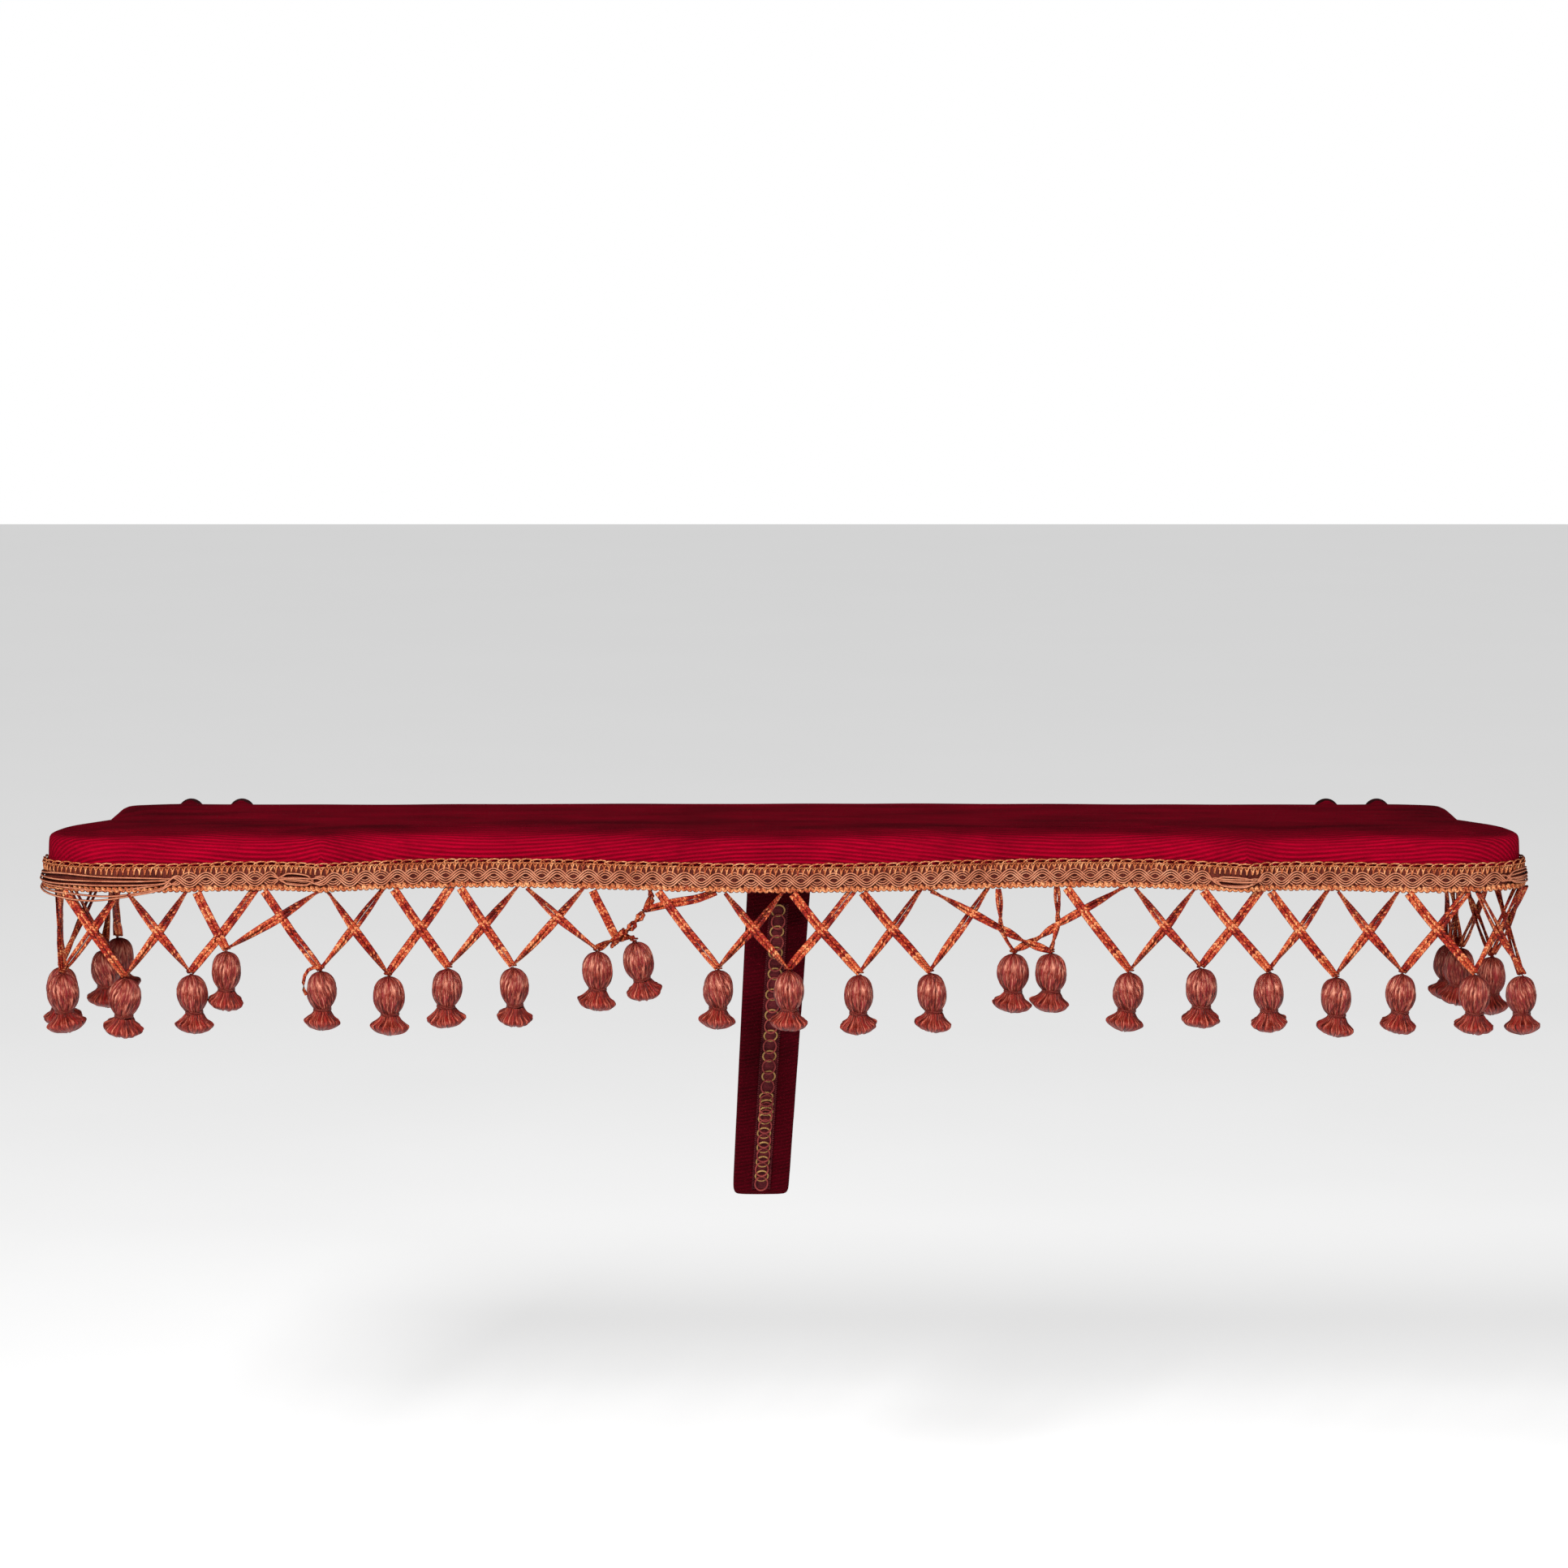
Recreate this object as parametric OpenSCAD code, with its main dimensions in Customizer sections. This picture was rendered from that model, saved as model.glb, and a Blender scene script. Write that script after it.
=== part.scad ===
// Plush-covered wall shelf with a fringed heading, a folding strut and 29 hanging tassels.
// Frame: millimetres. +X right, +Y towards the wall (wall plane y = 0), +Z up.
// Origin: on the wall plane, midway between the two wall-screw holes.

/* [Shelf] */
// Half width of the covered shelf at its front corners
half_width = 418; // [400:1:430]
// Depth of the covered shelf from the wall to the furthest front point
shelf_depth = 140; // [130:1:150]
// Height of the pine board's underside above the wall-screw holes
board_base_z = 9; // [8:0.5:12]
// Thickness of the pine board
board_thickness = 19; // [15:1:24]
// Thickness of the wadding on top of the board
wadding_thickness = 5; // [3:0.5:8]
// Thickness of the velvet cover
velvet_thickness = 1.2; // [1:0.1:2]
// How far the front corner lobes stand out beyond the side notches
side_lobe = 25; // [20:1:28]

/* [Heading] */
// Total height of the heading braid
heading_height = 18; // [16:0.5:22]
// Width of one ring of the waved middle cord
wave_ring = 8.9; // [8:0.1:10]
// Spacing of the small loops along the top edge
top_picot_pitch = 6; // [5.4:0.1:7]
// Spacing of the small loops along the lower edge
low_picot_pitch = 6.4; // [5.6:0.1:8]

/* [Fringe] */
// Spacing of the tassels along the right half of the front
tassel_pitch = 39.1; // [37:0.1:39.5]
// Spacing of the tassels along the left half of the front
left_pitch = 37.9; // [36:0.1:39.5]
// Offset of the middle tassel from the shelf's middle
fringe_shift = 2.3; // [-3:0.1:3]
// Distance along the edge from the wall to the last tassel on each side
last_tassel = 32; // [30:1:40]
// Drop from the heading's lower edge to a tassel's knot
net_drop = 44.5; // [40:0.5:50]
// Radius of one net cord
cord_r = 1.1; // [0.9:0.05:1.2]
// Radius of the knot bead that a tassel hangs from
knot_r = 2.2; // [1.8:0.1:2.4]
// Diameter of a tassel's head
head_d = 17; // [14:0.5:18]
// Diameter of a tassel's skirt at its hem
skirt_d = 19.6; // [16:0.2:19.8]
// Length of a tassel below its knot
tassel_length = 35; // [32:0.5:40]

/* [Strut] */
// Width of the strut at its top
strut_top_w = 36; // [32:1:40]
// Width of the strut at its foot
strut_foot_w = 33; // [28:1:36]
// Thickness of the strut's wooden core
strut_core_t = 12; // [10:1:16]
// Lean of the strut back towards the wall, degrees from upright
strut_tilt = 25; // [22:0.5:27]
// Height of the strut's foot below the shelf's underside
strut_drop = 201; // [180:1:205]
// Sideways offset of the strut's foot from its top
strut_shift = -11.5; // [-16:0.5:16]
// Distance from the wall to the fold hinge's pin
hinge_y = 101; // [98:1:106]
// Length of the fold hinge
hinge_length = 25; // [20:1:30]
// Radius of the fold hinge's pin
hinge_pin_r = 1.2; // [1:0.1:1.4]

/* [Fixings] */
// Distance between the two wall-screw holes
wall_hole_spacing = 672; // [640:2:690]
// Diameter of a wall-screw hole
wall_hole_d = 5; // [4:0.5:6]
// Distance between the two lugs and board screws of one wall plate
plate_screw_spacing = 30; // [26:1:34]
// Thickness of a wall plate
plate_thickness = 1.6; // [1.2:0.1:2]

/* [Hidden] */
$fn = 48;
function num2(k) = str(k < 10 ? "0" : "", k);

slip = 0.02;         // radial clearance of parts that stay put in a bore
cone_slip = 0.12;    // clearance round a countersunk head
run = 0.05;          // radial clearance of the turning hinge
gap = 0.3;           // clearance between soft pieces on different bodies
back_gap = 0.2;      // gap between the cover's cut back edge and the wall
board_top = board_base_z + board_thickness;
wad_top = board_top + wadding_thickness;
cover_top = wad_top + velvet_thickness;
wall_hole_z = 0;

// ---- plan outline, right half, from the middle of the front to the wall ----
wk = half_width / 418;
bow_x = 171 * wk;      // end of the broad middle bow, the deepest hollow
cusp_x = 260 * wk;     // pointed cusp
dip_x = 290 * wk;      // narrow hollow beside it
lobe_x = 368 * wk;     // crown of the corner lobe
front_y = -shelf_depth;
function stand_out(x) =
    x < bow_x ? 10.5 * (1 + cos(180 * x / bow_x))
    : x < cusp_x ? 20 * pow((x - bow_x) / (cusp_x - bow_x), 2)
    : x < dip_x ? 12 + 8 * pow(1 - (x - cusp_x) / (dip_x - cusp_x), 2)
    : 12 + 4 * (1 - cos(180 * (x - dip_x) / (lobe_x - dip_x)));
function front_at(x) = front_y + 21 - stand_out(x);
corner_y = front_y + 28;
notch_y = -66;
notch_x = half_width - side_lobe;
back_x = notch_x - 1;
back_r = 18;
back_y = -12;        // middle of the back corner's arc, which runs on past the wall line
half_line = concat(
    [for (i = [0:42]) let (x = bow_x * i / 42) [x, front_at(x)]],
    [for (i = [1:22]) let (x = bow_x + (cusp_x - bow_x) * i / 22) [x, front_at(x)]],
    [for (i = [1:8]) let (x = cusp_x + (dip_x - cusp_x) * i / 8) [x, front_at(x)]],
    [for (i = [1:18]) let (x = dip_x + (lobe_x - dip_x) * i / 18) [x, front_at(x)]],
    [for (i = [1:16]) let (a = 90 * i / 16)
        [lobe_x + (half_width - lobe_x) * sin(a),
         corner_y - (corner_y - front_at(lobe_x)) * cos(a)]],
    [for (i = [1:11]) let (t = i / 11)
        [notch_x + side_lobe * cos(90 * t), corner_y + (notch_y - corner_y) * t]],
    [for (i = [1:10]) let (t = i / 10)
        [notch_x + (back_x - notch_x) * sin(90 * t), notch_y + (back_y - notch_y) * t]],
    [for (i = [1:8]) let (a = 90 * i / 8)
        [back_x - back_r * (1 - cos(a)), back_y + back_r * sin(a)]]);
full_line = concat(
    [for (i = [len(half_line) - 1:-1:1]) [-half_line[i][0], half_line[i][1]]], half_line);
np = len(full_line);
function unit(v) = v / norm(v);
function out_at(i) =
    let (a = full_line[max(i - 1, 0)], b = full_line[i], c = full_line[min(i + 1, np - 1)],
         d1 = i == 0 ? unit(c - b) : unit(b - a), d2 = i == np - 1 ? unit(b - a) : unit(c - b),
         n1 = [d1[1], -d1[0]], n2 = [d2[1], -d2[0]], m = unit(n1 + n2))
    m / max(m * n1, 0.5);
outs = [for (i = [0:np - 1]) out_at(i)];
// The outline moved outwards by d, inwards when d is negative.
function moved(d) = [for (i = [0:np - 1]) full_line[i] + d * outs[i]];

// ---- distance along the outline, measured from the middle of the front ----
nh = len(half_line);
run_len = [for (i = 0, s = 0; i < nh; i = i + 1,
    s = i < nh ? s + norm(half_line[i] - half_line[i - 1]) : s) s];
line_end = run_len[nh - 1];
function seg_at(s, i = 0) = i >= nh - 2 || run_len[i + 1] > s ? i : seg_at(s, i + 1);
function half_pos(s) = let (i = seg_at(s), t = (s - run_len[i]) / (run_len[i + 1] - run_len[i]))
    half_line[i] + t * (half_line[i + 1] - half_line[i]);
function half_dir(s) = unit(half_pos(min(s + 2, line_end - 0.01)) - half_pos(max(s - 2, 0)));
function pos(s) = let (p = half_pos(abs(s))) [sign(s) * p[0] + (s == 0 ? p[0] : 0), p[1]];
function dir(s) = abs(s) < 0.5 ? [1, 0] : let (d = half_dir(abs(s))) s > 0 ? d : [d[0], -d[1]];
function outward(s) = let (d = dir(s)) [d[1], -d[0]];
function place(s, d) = pos(s) + d * outward(s);
function heading_of(s) = let (d = dir(s)) atan2(d[1], d[0]);

// ---- heading heights ----
head_top = board_base_z + heading_height - 7.8;
top_picot_z = head_top - 2.5;
wave_z = head_top - 5.3 - 4.6;
low_picot_z = wave_z - 4.6 - 1.7;
head_low = low_picot_z - 1.6;
tape_t = 1;

// ---- fringe: knot places; the list holds the pulled-up tassels [number, along, up] ----
pulled = [[-12, 0, -4], [-11, 0, -1], [-10, 0, -1.8], [-9, -1.7, -0.4], [-8, -19.3, 12.3], [-7, -2, 2],
          [-6, -1.4, -3.1], [-5, -4.8, 0], [-4, -6, 0.6], [-3, 5.1, 11.1], [-2, -11.5, 17.1],
          [-1, -1.4, 2.5], [0, 0, 2.2], [1, 1.1, -0.5], [2, 2.2, -0.9], [3, 11.6, 9.2], [4, -6.3, 8.9],
          [5, 0, -2], [6, 1.6, 1.9], [7, 2.5, 0.3], [8, 1.9, -2.8], [9, 0.3, 0.2], [10, 1.5, -0.5],
          [11, 0, -5], [14, 0, -4]];
// neighbours drawn together keep a skirt's width and a gap between them
pair_gap = 1.6;
function draw_in(i) = i == 3 || i == 4 ? (tassel_pitch - skirt_d - pair_gap) / 17.9
    : i == -3 || i == -2 ? (left_pitch - skirt_d - pair_gap - 0.1) / 16.6
    : i == -8 ? (left_pitch - skirt_d - 1) / 17.3 : 1;
function pull(i) = let (m = [for (p = pulled) if (p[0] == i) p]) len(m) > 0 ? m[0] : [i, 0, 0];
function front_s(i) = fringe_shift + i * (i < 0 ? left_pitch : tassel_pitch);
function rest_s(i) = abs(i) <= 11 ? front_s(i)
    : let (f = abs(front_s(11 * sign(i))))
      sign(i) * (f + (abs(i) - 11) * (line_end - last_tassel - f) / 3);
function knot_s(i) = rest_s(i) + pull(i)[1] * draw_in(i);
knot_d = 1.6;
knot_z = head_low - net_drop;
function knot(i) = let (p = place(knot_s(i), knot_d)) [p[0], p[1], knot_z + pull(i)[2]];
end_s = rest_s(14) + 8;
picot_d = 0.25;
picot_t = 1.4;
picot_face_d = picot_d + picot_t;
layer = cord_r + 0.15;
leg_top_d = picot_face_d + layer;
back_leg_d = 3 * cord_r + 1.9;

// ---- strut frame ----
pin_z = board_base_z - 3.2;
pin_y = -hinge_y;
strut_x = -2.5;
strut_len = (strut_drop - 3.2) / cos(strut_tilt);
velvet_t = velvet_thickness;
strut_back = 2.9;    // from the pin to the bare back of the core, along the core's thickness
module strut_frame() translate([strut_x, pin_y, pin_z]) rotate([strut_tilt, 0, 0]) children();
// In the strut frame +Z runs up the strut, -Y is its front and the pin is the X axis.

module slab(d, z0, z1, back = 0)
    translate([0, 0, z0]) linear_extrude(z1 - z0) intersection() {
        polygon(moved(d));
        translate([-500, -300]) square([1000, 300 - back]);
    }

module rib(d0, d1, z0, z1)
    translate([0, 0, z0]) linear_extrude(z1 - z0) intersection() {
        polygon(concat(moved(d1), [for (i = [np - 1:-1:0]) moved(d0)[i]]));
        translate([-500, -300]) square([1000, 299]);
    }

module rod(a, b, r) {
    v = b - a;
    translate(a) rotate([0, acos(v[2] / norm(v)), atan2(v[1], v[0])]) cylinder(r = r, h = norm(v));
}

module pad(l, w, t) translate([0, 0, t / 2]) cube([l, w, t], center = true);

// ---- wooden board and what is upholstered onto it ----
tack_s = [-500, -440, -385, -320, -250, -180, -110, -40, 40, 110, 180, 250, 320, 385, 440, 500];
function tack_at(s) = place(s, -14);
plate_screw_z = board_base_z + board_thickness / 2;
leaf_w = 20;         // width of the board leaf, from the pin towards the wall
leaf_t = 1.5;
leaf_screw_x = hinge_length / 2 - 5;

module shelf_board() color("BurlyWood") difference() {
    slab(-velvet_t - 2.5, board_base_z, board_top);
    for (s = [-1, 1]) translate([s * wall_hole_spacing / 2, 0, 0]) {
        translate([-23.1, -plate_thickness - slip, -20]) cube([46.2, 10, 80]);
        for (q = [-1, 1]) translate([q * plate_screw_spacing / 2, 0, plate_screw_z])
            rotate([90, 0, 0]) cylinder(r = 1.5 + slip, h = 18);
    }
    for (s = tack_s) translate([tack_at(s)[0], tack_at(s)[1], board_base_z - 1])
        cylinder(r = 0.6 + slip, h = 9.2);
    for (q = [-1, 1], r = [0, 1])
        translate([strut_x + q * leaf_screw_x, pin_y + 8 + 7.5 * r, board_base_z - 1])
            cylinder(r = 1.2 + slip, h = 9.2);
}

module top_wadding() color("Cornsilk") union() {
    difference() {
        slab(-velvet_t, board_base_z + 4, board_top, plate_thickness + back_gap);
        slab(-velvet_t - 2.5, board_base_z, board_top + 1);
    }
    slab(-velvet_t, board_top, wad_top - 2.6, plate_thickness + back_gap);
    slab(-velvet_t - 1.6, wad_top - 2.6, wad_top - 1, plate_thickness + back_gap);
    slab(-velvet_t - 4, wad_top - 1, wad_top, plate_thickness + back_gap);
}

module velvet_cover() color("Crimson") difference() {
    union() {
        slab(0, board_base_z, cover_top - 2.6, plate_thickness + back_gap);
        slab(-1.6, cover_top - 2.6, cover_top - 1, plate_thickness + back_gap);
        slab(-4, cover_top - 1, cover_top, plate_thickness + back_gap);
    }
    slab(-velvet_t, board_base_z - 1, wad_top - 2.6);
    slab(-velvet_t - 1.6, wad_top - 2.7, wad_top - 1);
    slab(-velvet_t - 4, wad_top - 1.1, wad_top);
}

module underside_lining() color("SaddleBrown") difference() {
    slab(-9, board_base_z - 0.6, board_base_z, 6);
    translate([strut_x - hinge_length / 2 - 4, pin_y - 24, -20])
        cube([hinge_length + 8, 24 + leaf_w + 3, 40]);
    translate([strut_x - strut_top_w / 2 - 4, pin_y - 24, -20]) cube([strut_top_w + 8, 34, 40]);
    for (s = tack_s) translate([tack_at(s)[0], tack_at(s)[1], -20])
        cylinder(r = 0.6 + slip, h = 60);
}

module lining_tacks() color("Goldenrod")
    for (s = tack_s) translate([tack_at(s)[0], tack_at(s)[1], board_base_z - 0.6]) union() {
        cylinder(r = 0.6, h = 8.6);
        translate([0, 0, -0.9]) cylinder(r1 = 1.8, r2 = 2.8, h = 0.9);
    }

// ---- heading ----
module heading_band() color("Peru") rib(0, tape_t, wave_z - 4.6, wave_z + 4.6);

ring_n = floor((end_s - 2) / (wave_ring + 0.3));
notch_s = run_len[42 + 22 + 8 + 18 + 16 + 11];
module heading_wave_cords() color("DarkSalmon")
    for (k = [-ring_n:ring_n]) let (s = k * (wave_ring + 0.3), p = place(s, tape_t + 0.25))
        if (abs(abs(s) - notch_s) > 6.5)
            translate([p[0], p[1], wave_z]) rotate([90, 0, heading_of(s)]) difference() {
                cylinder(d = wave_ring, h = 2);
                translate([0, 0, -1]) cylinder(d = wave_ring - 3.2, h = 4);
            }

module picot_row(z, pitch, r, t) let (n = floor((end_s - 2) / pitch))
    for (k = [-n:n]) let (s = k * pitch, p = place(s, picot_d))
        if (abs(abs(s) - notch_s) > 3.4)
            translate([p[0], p[1], z]) rotate([90, 0, heading_of(s)]) difference() {
                cylinder(r = r, h = t, $fn = 24);
                translate([0, 0, -1]) cylinder(r = r - 1, h = t + 2, $fn = 24);
            }

module heading_top_picots() color("SandyBrown") picot_row(top_picot_z, top_picot_pitch, 2.45, picot_t);

module heading_bottom_picots() color("SandyBrown")
    picot_row(low_picot_z, low_picot_pitch, 1.65, picot_t);

// ---- net: each knot hangs on two twin cords, one from either neighbour's place ----
module leg(s_top, i, side) {
    top = place(s_top, side > 0 ? -back_leg_d : leg_top_d + (abs(i) > 9 ? 0.2 : 0));
    foot = place(knot_s(i), knot_d - side * (abs(i) > 9 ? 1.6 : 1) * layer);
    a = [top[0], top[1], side > 0 ? board_base_z - cord_r - (abs(i) > 11 ? 0.5 : 0.9) : head_low - 2.3];
    b = [foot[0], foot[1], knot(i)[2]];
    v = unit(b - a);
    n = outward(knot_s(i));
    w = unit(cross(v, [n[0], n[1], 0]));
    for (q = [-1, 1]) let (o = q * (cord_r + 0.12))
        rod(a + w * o, b - v * (knot_r + 0.25) + w * o, cord_r);
}

module knot_bead(i) translate(knot(i)) sphere(r = knot_r);

module net_at(i) {
    knot_bead(i);
    leg(i == -14 ? -end_s : rest_s(i - 1) + 2.6, i, -1);
    leg(i == 14 ? end_s : rest_s(i + 1) - 2.6, i, 1);
}

module net_cords_front() color("Chocolate") for (i = [-10:10]) net_at(i);
module net_cords_left() color("Chocolate") for (i = [-14:-11]) net_at(i);
module net_cords_right() color("Chocolate") for (i = [11:14]) net_at(i);

// ---- tassels ----
module tassel(i) translate(knot(i)) color("OrangeRed") {
    hr = head_d / 2;
    top = -knot_r - 0.4;
    neck = top - head_d - 1.4;
    translate([0, 0, top - hr]) difference() {
        sphere(r = hr);
        translate([-10, -10, -hr - 10 + 1]) cube([20, 20, 10]);
    }
    translate([0, 0, neck + 0.2]) cylinder(r = 5.4, h = 2.2);
    translate([0, 0, -tassel_length]) rotate_extrude() polygon(concat([[0, 0]],
        [for (t = [0:0.2:1]) [skirt_d / 2 - (skirt_d / 2 - 5) * pow(t, 0.8),
                              (neck + 0.2 + tassel_length) * t]],
        [[0, neck + 0.2 + tassel_length]]));
}

// ---- wall plates ----
module wall_plate() color("DarkGoldenrod") difference() {
    rotate([90, 0, 0]) linear_extrude(plate_thickness) union() {
        translate([-23, board_base_z - 1]) square([46, cover_top - board_base_z - 3]);
        circle(r = 9);
        translate([-9, 0]) square([18, board_base_z]);
        for (q = [-1, 1]) translate([q * plate_screw_spacing / 2, cover_top - 5.5]) circle(r = 7.8);
    }
    translate([0, 1, wall_hole_z]) rotate([90, 0, 0]) cylinder(d = wall_hole_d, h = 10);
    for (q = [-1, 1]) translate([q * plate_screw_spacing / 2, 0, plate_screw_z]) {
        translate([0, 1, 0]) rotate([90, 0, 0]) cylinder(r = 1.5 + slip, h = 10);
        translate([0, slip, 0]) rotate([90, 0, 0])
            cylinder(r1 = 3.1 + cone_slip, r2 = 1.5 + cone_slip, h = 1.6 + slip);
    }
}
module wall_plate_left() translate([-wall_hole_spacing / 2, 0, 0]) wall_plate();
module wall_plate_right() translate([wall_hole_spacing / 2, 0, 0]) wall_plate();
module wall_plate_screws() color("Goldenrod")
    for (s = [-1, 1], q = [-1, 1])
        translate([s * wall_hole_spacing / 2 + q * plate_screw_spacing / 2, -0.02, plate_screw_z])
            rotate([90, 0, 0]) difference() {
                union() {
                    cylinder(r1 = 3.1, r2 = 1.5, h = 1.6);
                    cylinder(r = 1.5, h = 17.8);
                }
                translate([-4, -0.35, -1]) cube([8, 0.7, 1.7]);
            }

// ---- fold hinge ----
knuckle_r = 2.4;
knuckle_end = hinge_length / 3 - 0.3;
module hinge_leaf_board() color("Goldenrod") translate([strut_x, pin_y, 0]) difference() {
    union() {
        for (q = [-1, 1])
            translate([q * (hinge_length / 2 - knuckle_end / 2), 0, 0]) {
                translate([-knuckle_end / 2, 0, pin_z]) rotate([0, 90, 0])
                    cylinder(r = knuckle_r, h = knuckle_end);
                translate([-knuckle_end / 2, 0, pin_z])
                    cube([knuckle_end, knuckle_r, board_base_z - pin_z]);
            }
        translate([-hinge_length / 2, knuckle_r + 0.3, board_base_z - leaf_t])
            cube([hinge_length, leaf_w - knuckle_r, leaf_t]);
        for (q = [-1, 1])
            translate([q * (hinge_length / 2 - knuckle_end / 2) - knuckle_end / 2, 0.5,
                       board_base_z - leaf_t]) cube([knuckle_end, 6, leaf_t]);
    }
    translate([-50, 0, pin_z]) rotate([0, 90, 0]) cylinder(r = hinge_pin_r + run, h = 100);
    for (q = [-1, 1], r = [0, 1]) translate([q * leaf_screw_x, 8 + 7.5 * r, 0]) {
        cylinder(r = 1.2 + slip, h = 30);
        translate([0, 0, board_base_z - leaf_t - slip])
            cylinder(r1 = 2.4 + cone_slip, r2 = 1.2 + cone_slip, h = 1.2 + slip);
    }
}

module small_screw(l) difference() {
    union() {
        cylinder(r1 = 2.4, r2 = 1.2, h = 1.2);
        cylinder(r = 1.2, h = l);
    }
    translate([-3, -0.25, -1]) cube([6, 0.5, 1.5]);
}
module hinge_leaf_board_screws() color("Goldenrod")
    for (q = [-1, 1], r = [0, 1])
        translate([strut_x + q * leaf_screw_x, pin_y + 8 + 7.5 * r, board_base_z - leaf_t])
            small_screw(9);

module hinge_pin() color("Silver") translate([strut_x - hinge_length / 2, pin_y, pin_z])
    rotate([0, 90, 0]) union() {
        translate([0, 0, -1.2]) cylinder(r = 1.9, h = 1.2);
        cylinder(r = hinge_pin_r, h = hinge_length);
        translate([0, 0, hinge_length]) cylinder(r = 1.9, h = 1.2);
    }

strut_screw_x = hinge_length / 2 - 6;
module hinge_leaf_strut() color("Goldenrod") strut_frame() difference() {
    union() {
        translate([-hinge_length / 6 + 0.15, 0, 0]) rotate([0, 90, 0])
            cylinder(r = knuckle_r, h = hinge_length / 3 - 0.3);
        translate([-hinge_length / 6 + 0.15, -strut_back, -6])
            cube([hinge_length / 3 - 0.3, leaf_t, 6]);
        translate([-hinge_length / 6 + 0.15, -strut_back, -knuckle_r])
            cube([hinge_length / 3 - 0.3, strut_back, knuckle_r]);
        translate([-hinge_length / 2, -strut_back, -22]) cube([hinge_length, leaf_t, 22 - 4.5]);
    }
    translate([-50, 0, 0]) rotate([0, 90, 0]) cylinder(r = hinge_pin_r + run, h = 100);
    for (q = [-1, 1], r = [0, 1]) translate([q * strut_screw_x, -strut_back, -9.5 - 7.5 * r])
        rotate([-90, 0, 0]) {
            translate([0, 0, -1]) cylinder(r = 1.2 + slip, h = 10);
            translate([0, 0, leaf_t - 1.2])
                cylinder(r1 = 1.2 + cone_slip, r2 = 2.4 + cone_slip, h = 1.2 + slip);
        }
}
module hinge_leaf_strut_screws() color("Goldenrod") strut_frame()
    for (q = [-1, 1], r = [0, 1])
        translate([q * strut_screw_x, -strut_back + leaf_t, -9.5 - 7.5 * r])
            rotate([90, 0, 0]) small_screw(9);

// ---- strut ----
// Face outline of the strut: x across, y up the strut from the pin line.
module strut_face(e) let (w1 = strut_top_w / 2 - velvet_t + e, w2 = strut_foot_w / 2 - velvet_t + e,
                          l = strut_len - velvet_t + e, r = 4)
    polygon(concat([[-w1, 25], [w1, 25], [w1, 0]],
        [for (a = [0:-15:-90]) [strut_shift + w2 - r + r * cos(a), r - l + r * sin(a)]],
        [for (a = [-90:-15:-180]) [strut_shift - w2 + r + r * cos(a), r - l + r * sin(a)]],
        [[-w1, 0]]));

// Side outline in the shelf's own frame cuts the strut's top level, just under the board.
module strut_body(e, up) difference() {
    strut_frame() translate([0, -strut_back + e, 0]) rotate([90, 0, 0])
        linear_extrude(strut_core_t + 2 * e) strut_face(e);
    translate([-100, pin_y - 100, board_base_z - up]) cube([200, 200, 60]);
}

module strut_core() color("BurlyWood") difference() {
    strut_body(0, gap);
    strut_frame() for (q = [-1, 1], r = [0, 1])
        translate([q * strut_screw_x, -strut_back + 1, -9.5 - 7.5 * r])
            rotate([90, 0, 0]) cylinder(r = 1.2 + slip, h = 9.2);
}

module strut_velvet() color("Crimson") difference() {
    strut_body(velvet_t, gap);
    strut_body(0, -40);
    // bare where the hinge leaf is let in
    strut_frame() translate([-hinge_length / 2 - 3, -strut_back - 1, -23.5])
        cube([hinge_length + 6, 10, 80]);
}

strut_front = -strut_back - strut_core_t - velvet_t;
braid_top = -8;
braid_len = strut_len - 12;
function braid_x(v) = strut_shift * v / strut_len;
module strut_braid_band() color("Olive") strut_frame()
    translate([0, strut_front, 0]) rotate([90, 0, 0]) linear_extrude(0.8)
        polygon([[-5.5 + braid_x(-braid_top), braid_top], [5.5 + braid_x(-braid_top), braid_top],
                 [5.5 + braid_x(braid_len), -braid_len], [-5.5 + braid_x(braid_len), -braid_len]]);

loop_r = 3.8;
module strut_chain_loops() color("Goldenrod") strut_frame()
    for (k = [0:floor((braid_len + braid_top - 2 * loop_r) / 4.1)])
        let (v = -braid_top + loop_r + 0.5 + 4.1 * k)
            translate([braid_x(v), strut_front - 0.8 - 0.85 - (k % 2) * 1.75, -v])
                rotate([90, 0, 0]) rotate_extrude() translate([loop_r - 0.8, 0]) circle(r = 0.8);

shelf_board();
top_wadding();
velvet_cover();
underside_lining();
lining_tacks();
heading_band();
heading_wave_cords();
heading_top_picots();
heading_bottom_picots();
net_cords_front();
net_cords_left();
net_cords_right();
wall_plate_left();
wall_plate_right();
wall_plate_screws();
hinge_leaf_board();
hinge_leaf_board_screws();
hinge_pin();
hinge_leaf_strut();
hinge_leaf_strut_screws();
strut_core();
strut_velvet();
strut_braid_band();
strut_chain_loops();
for (k = [1:29]) tassel(k - 15);
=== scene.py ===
import bpy, math, random
from mathutils import Matrix, Vector, noise
from mathutils.kdtree import KDTree


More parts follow.
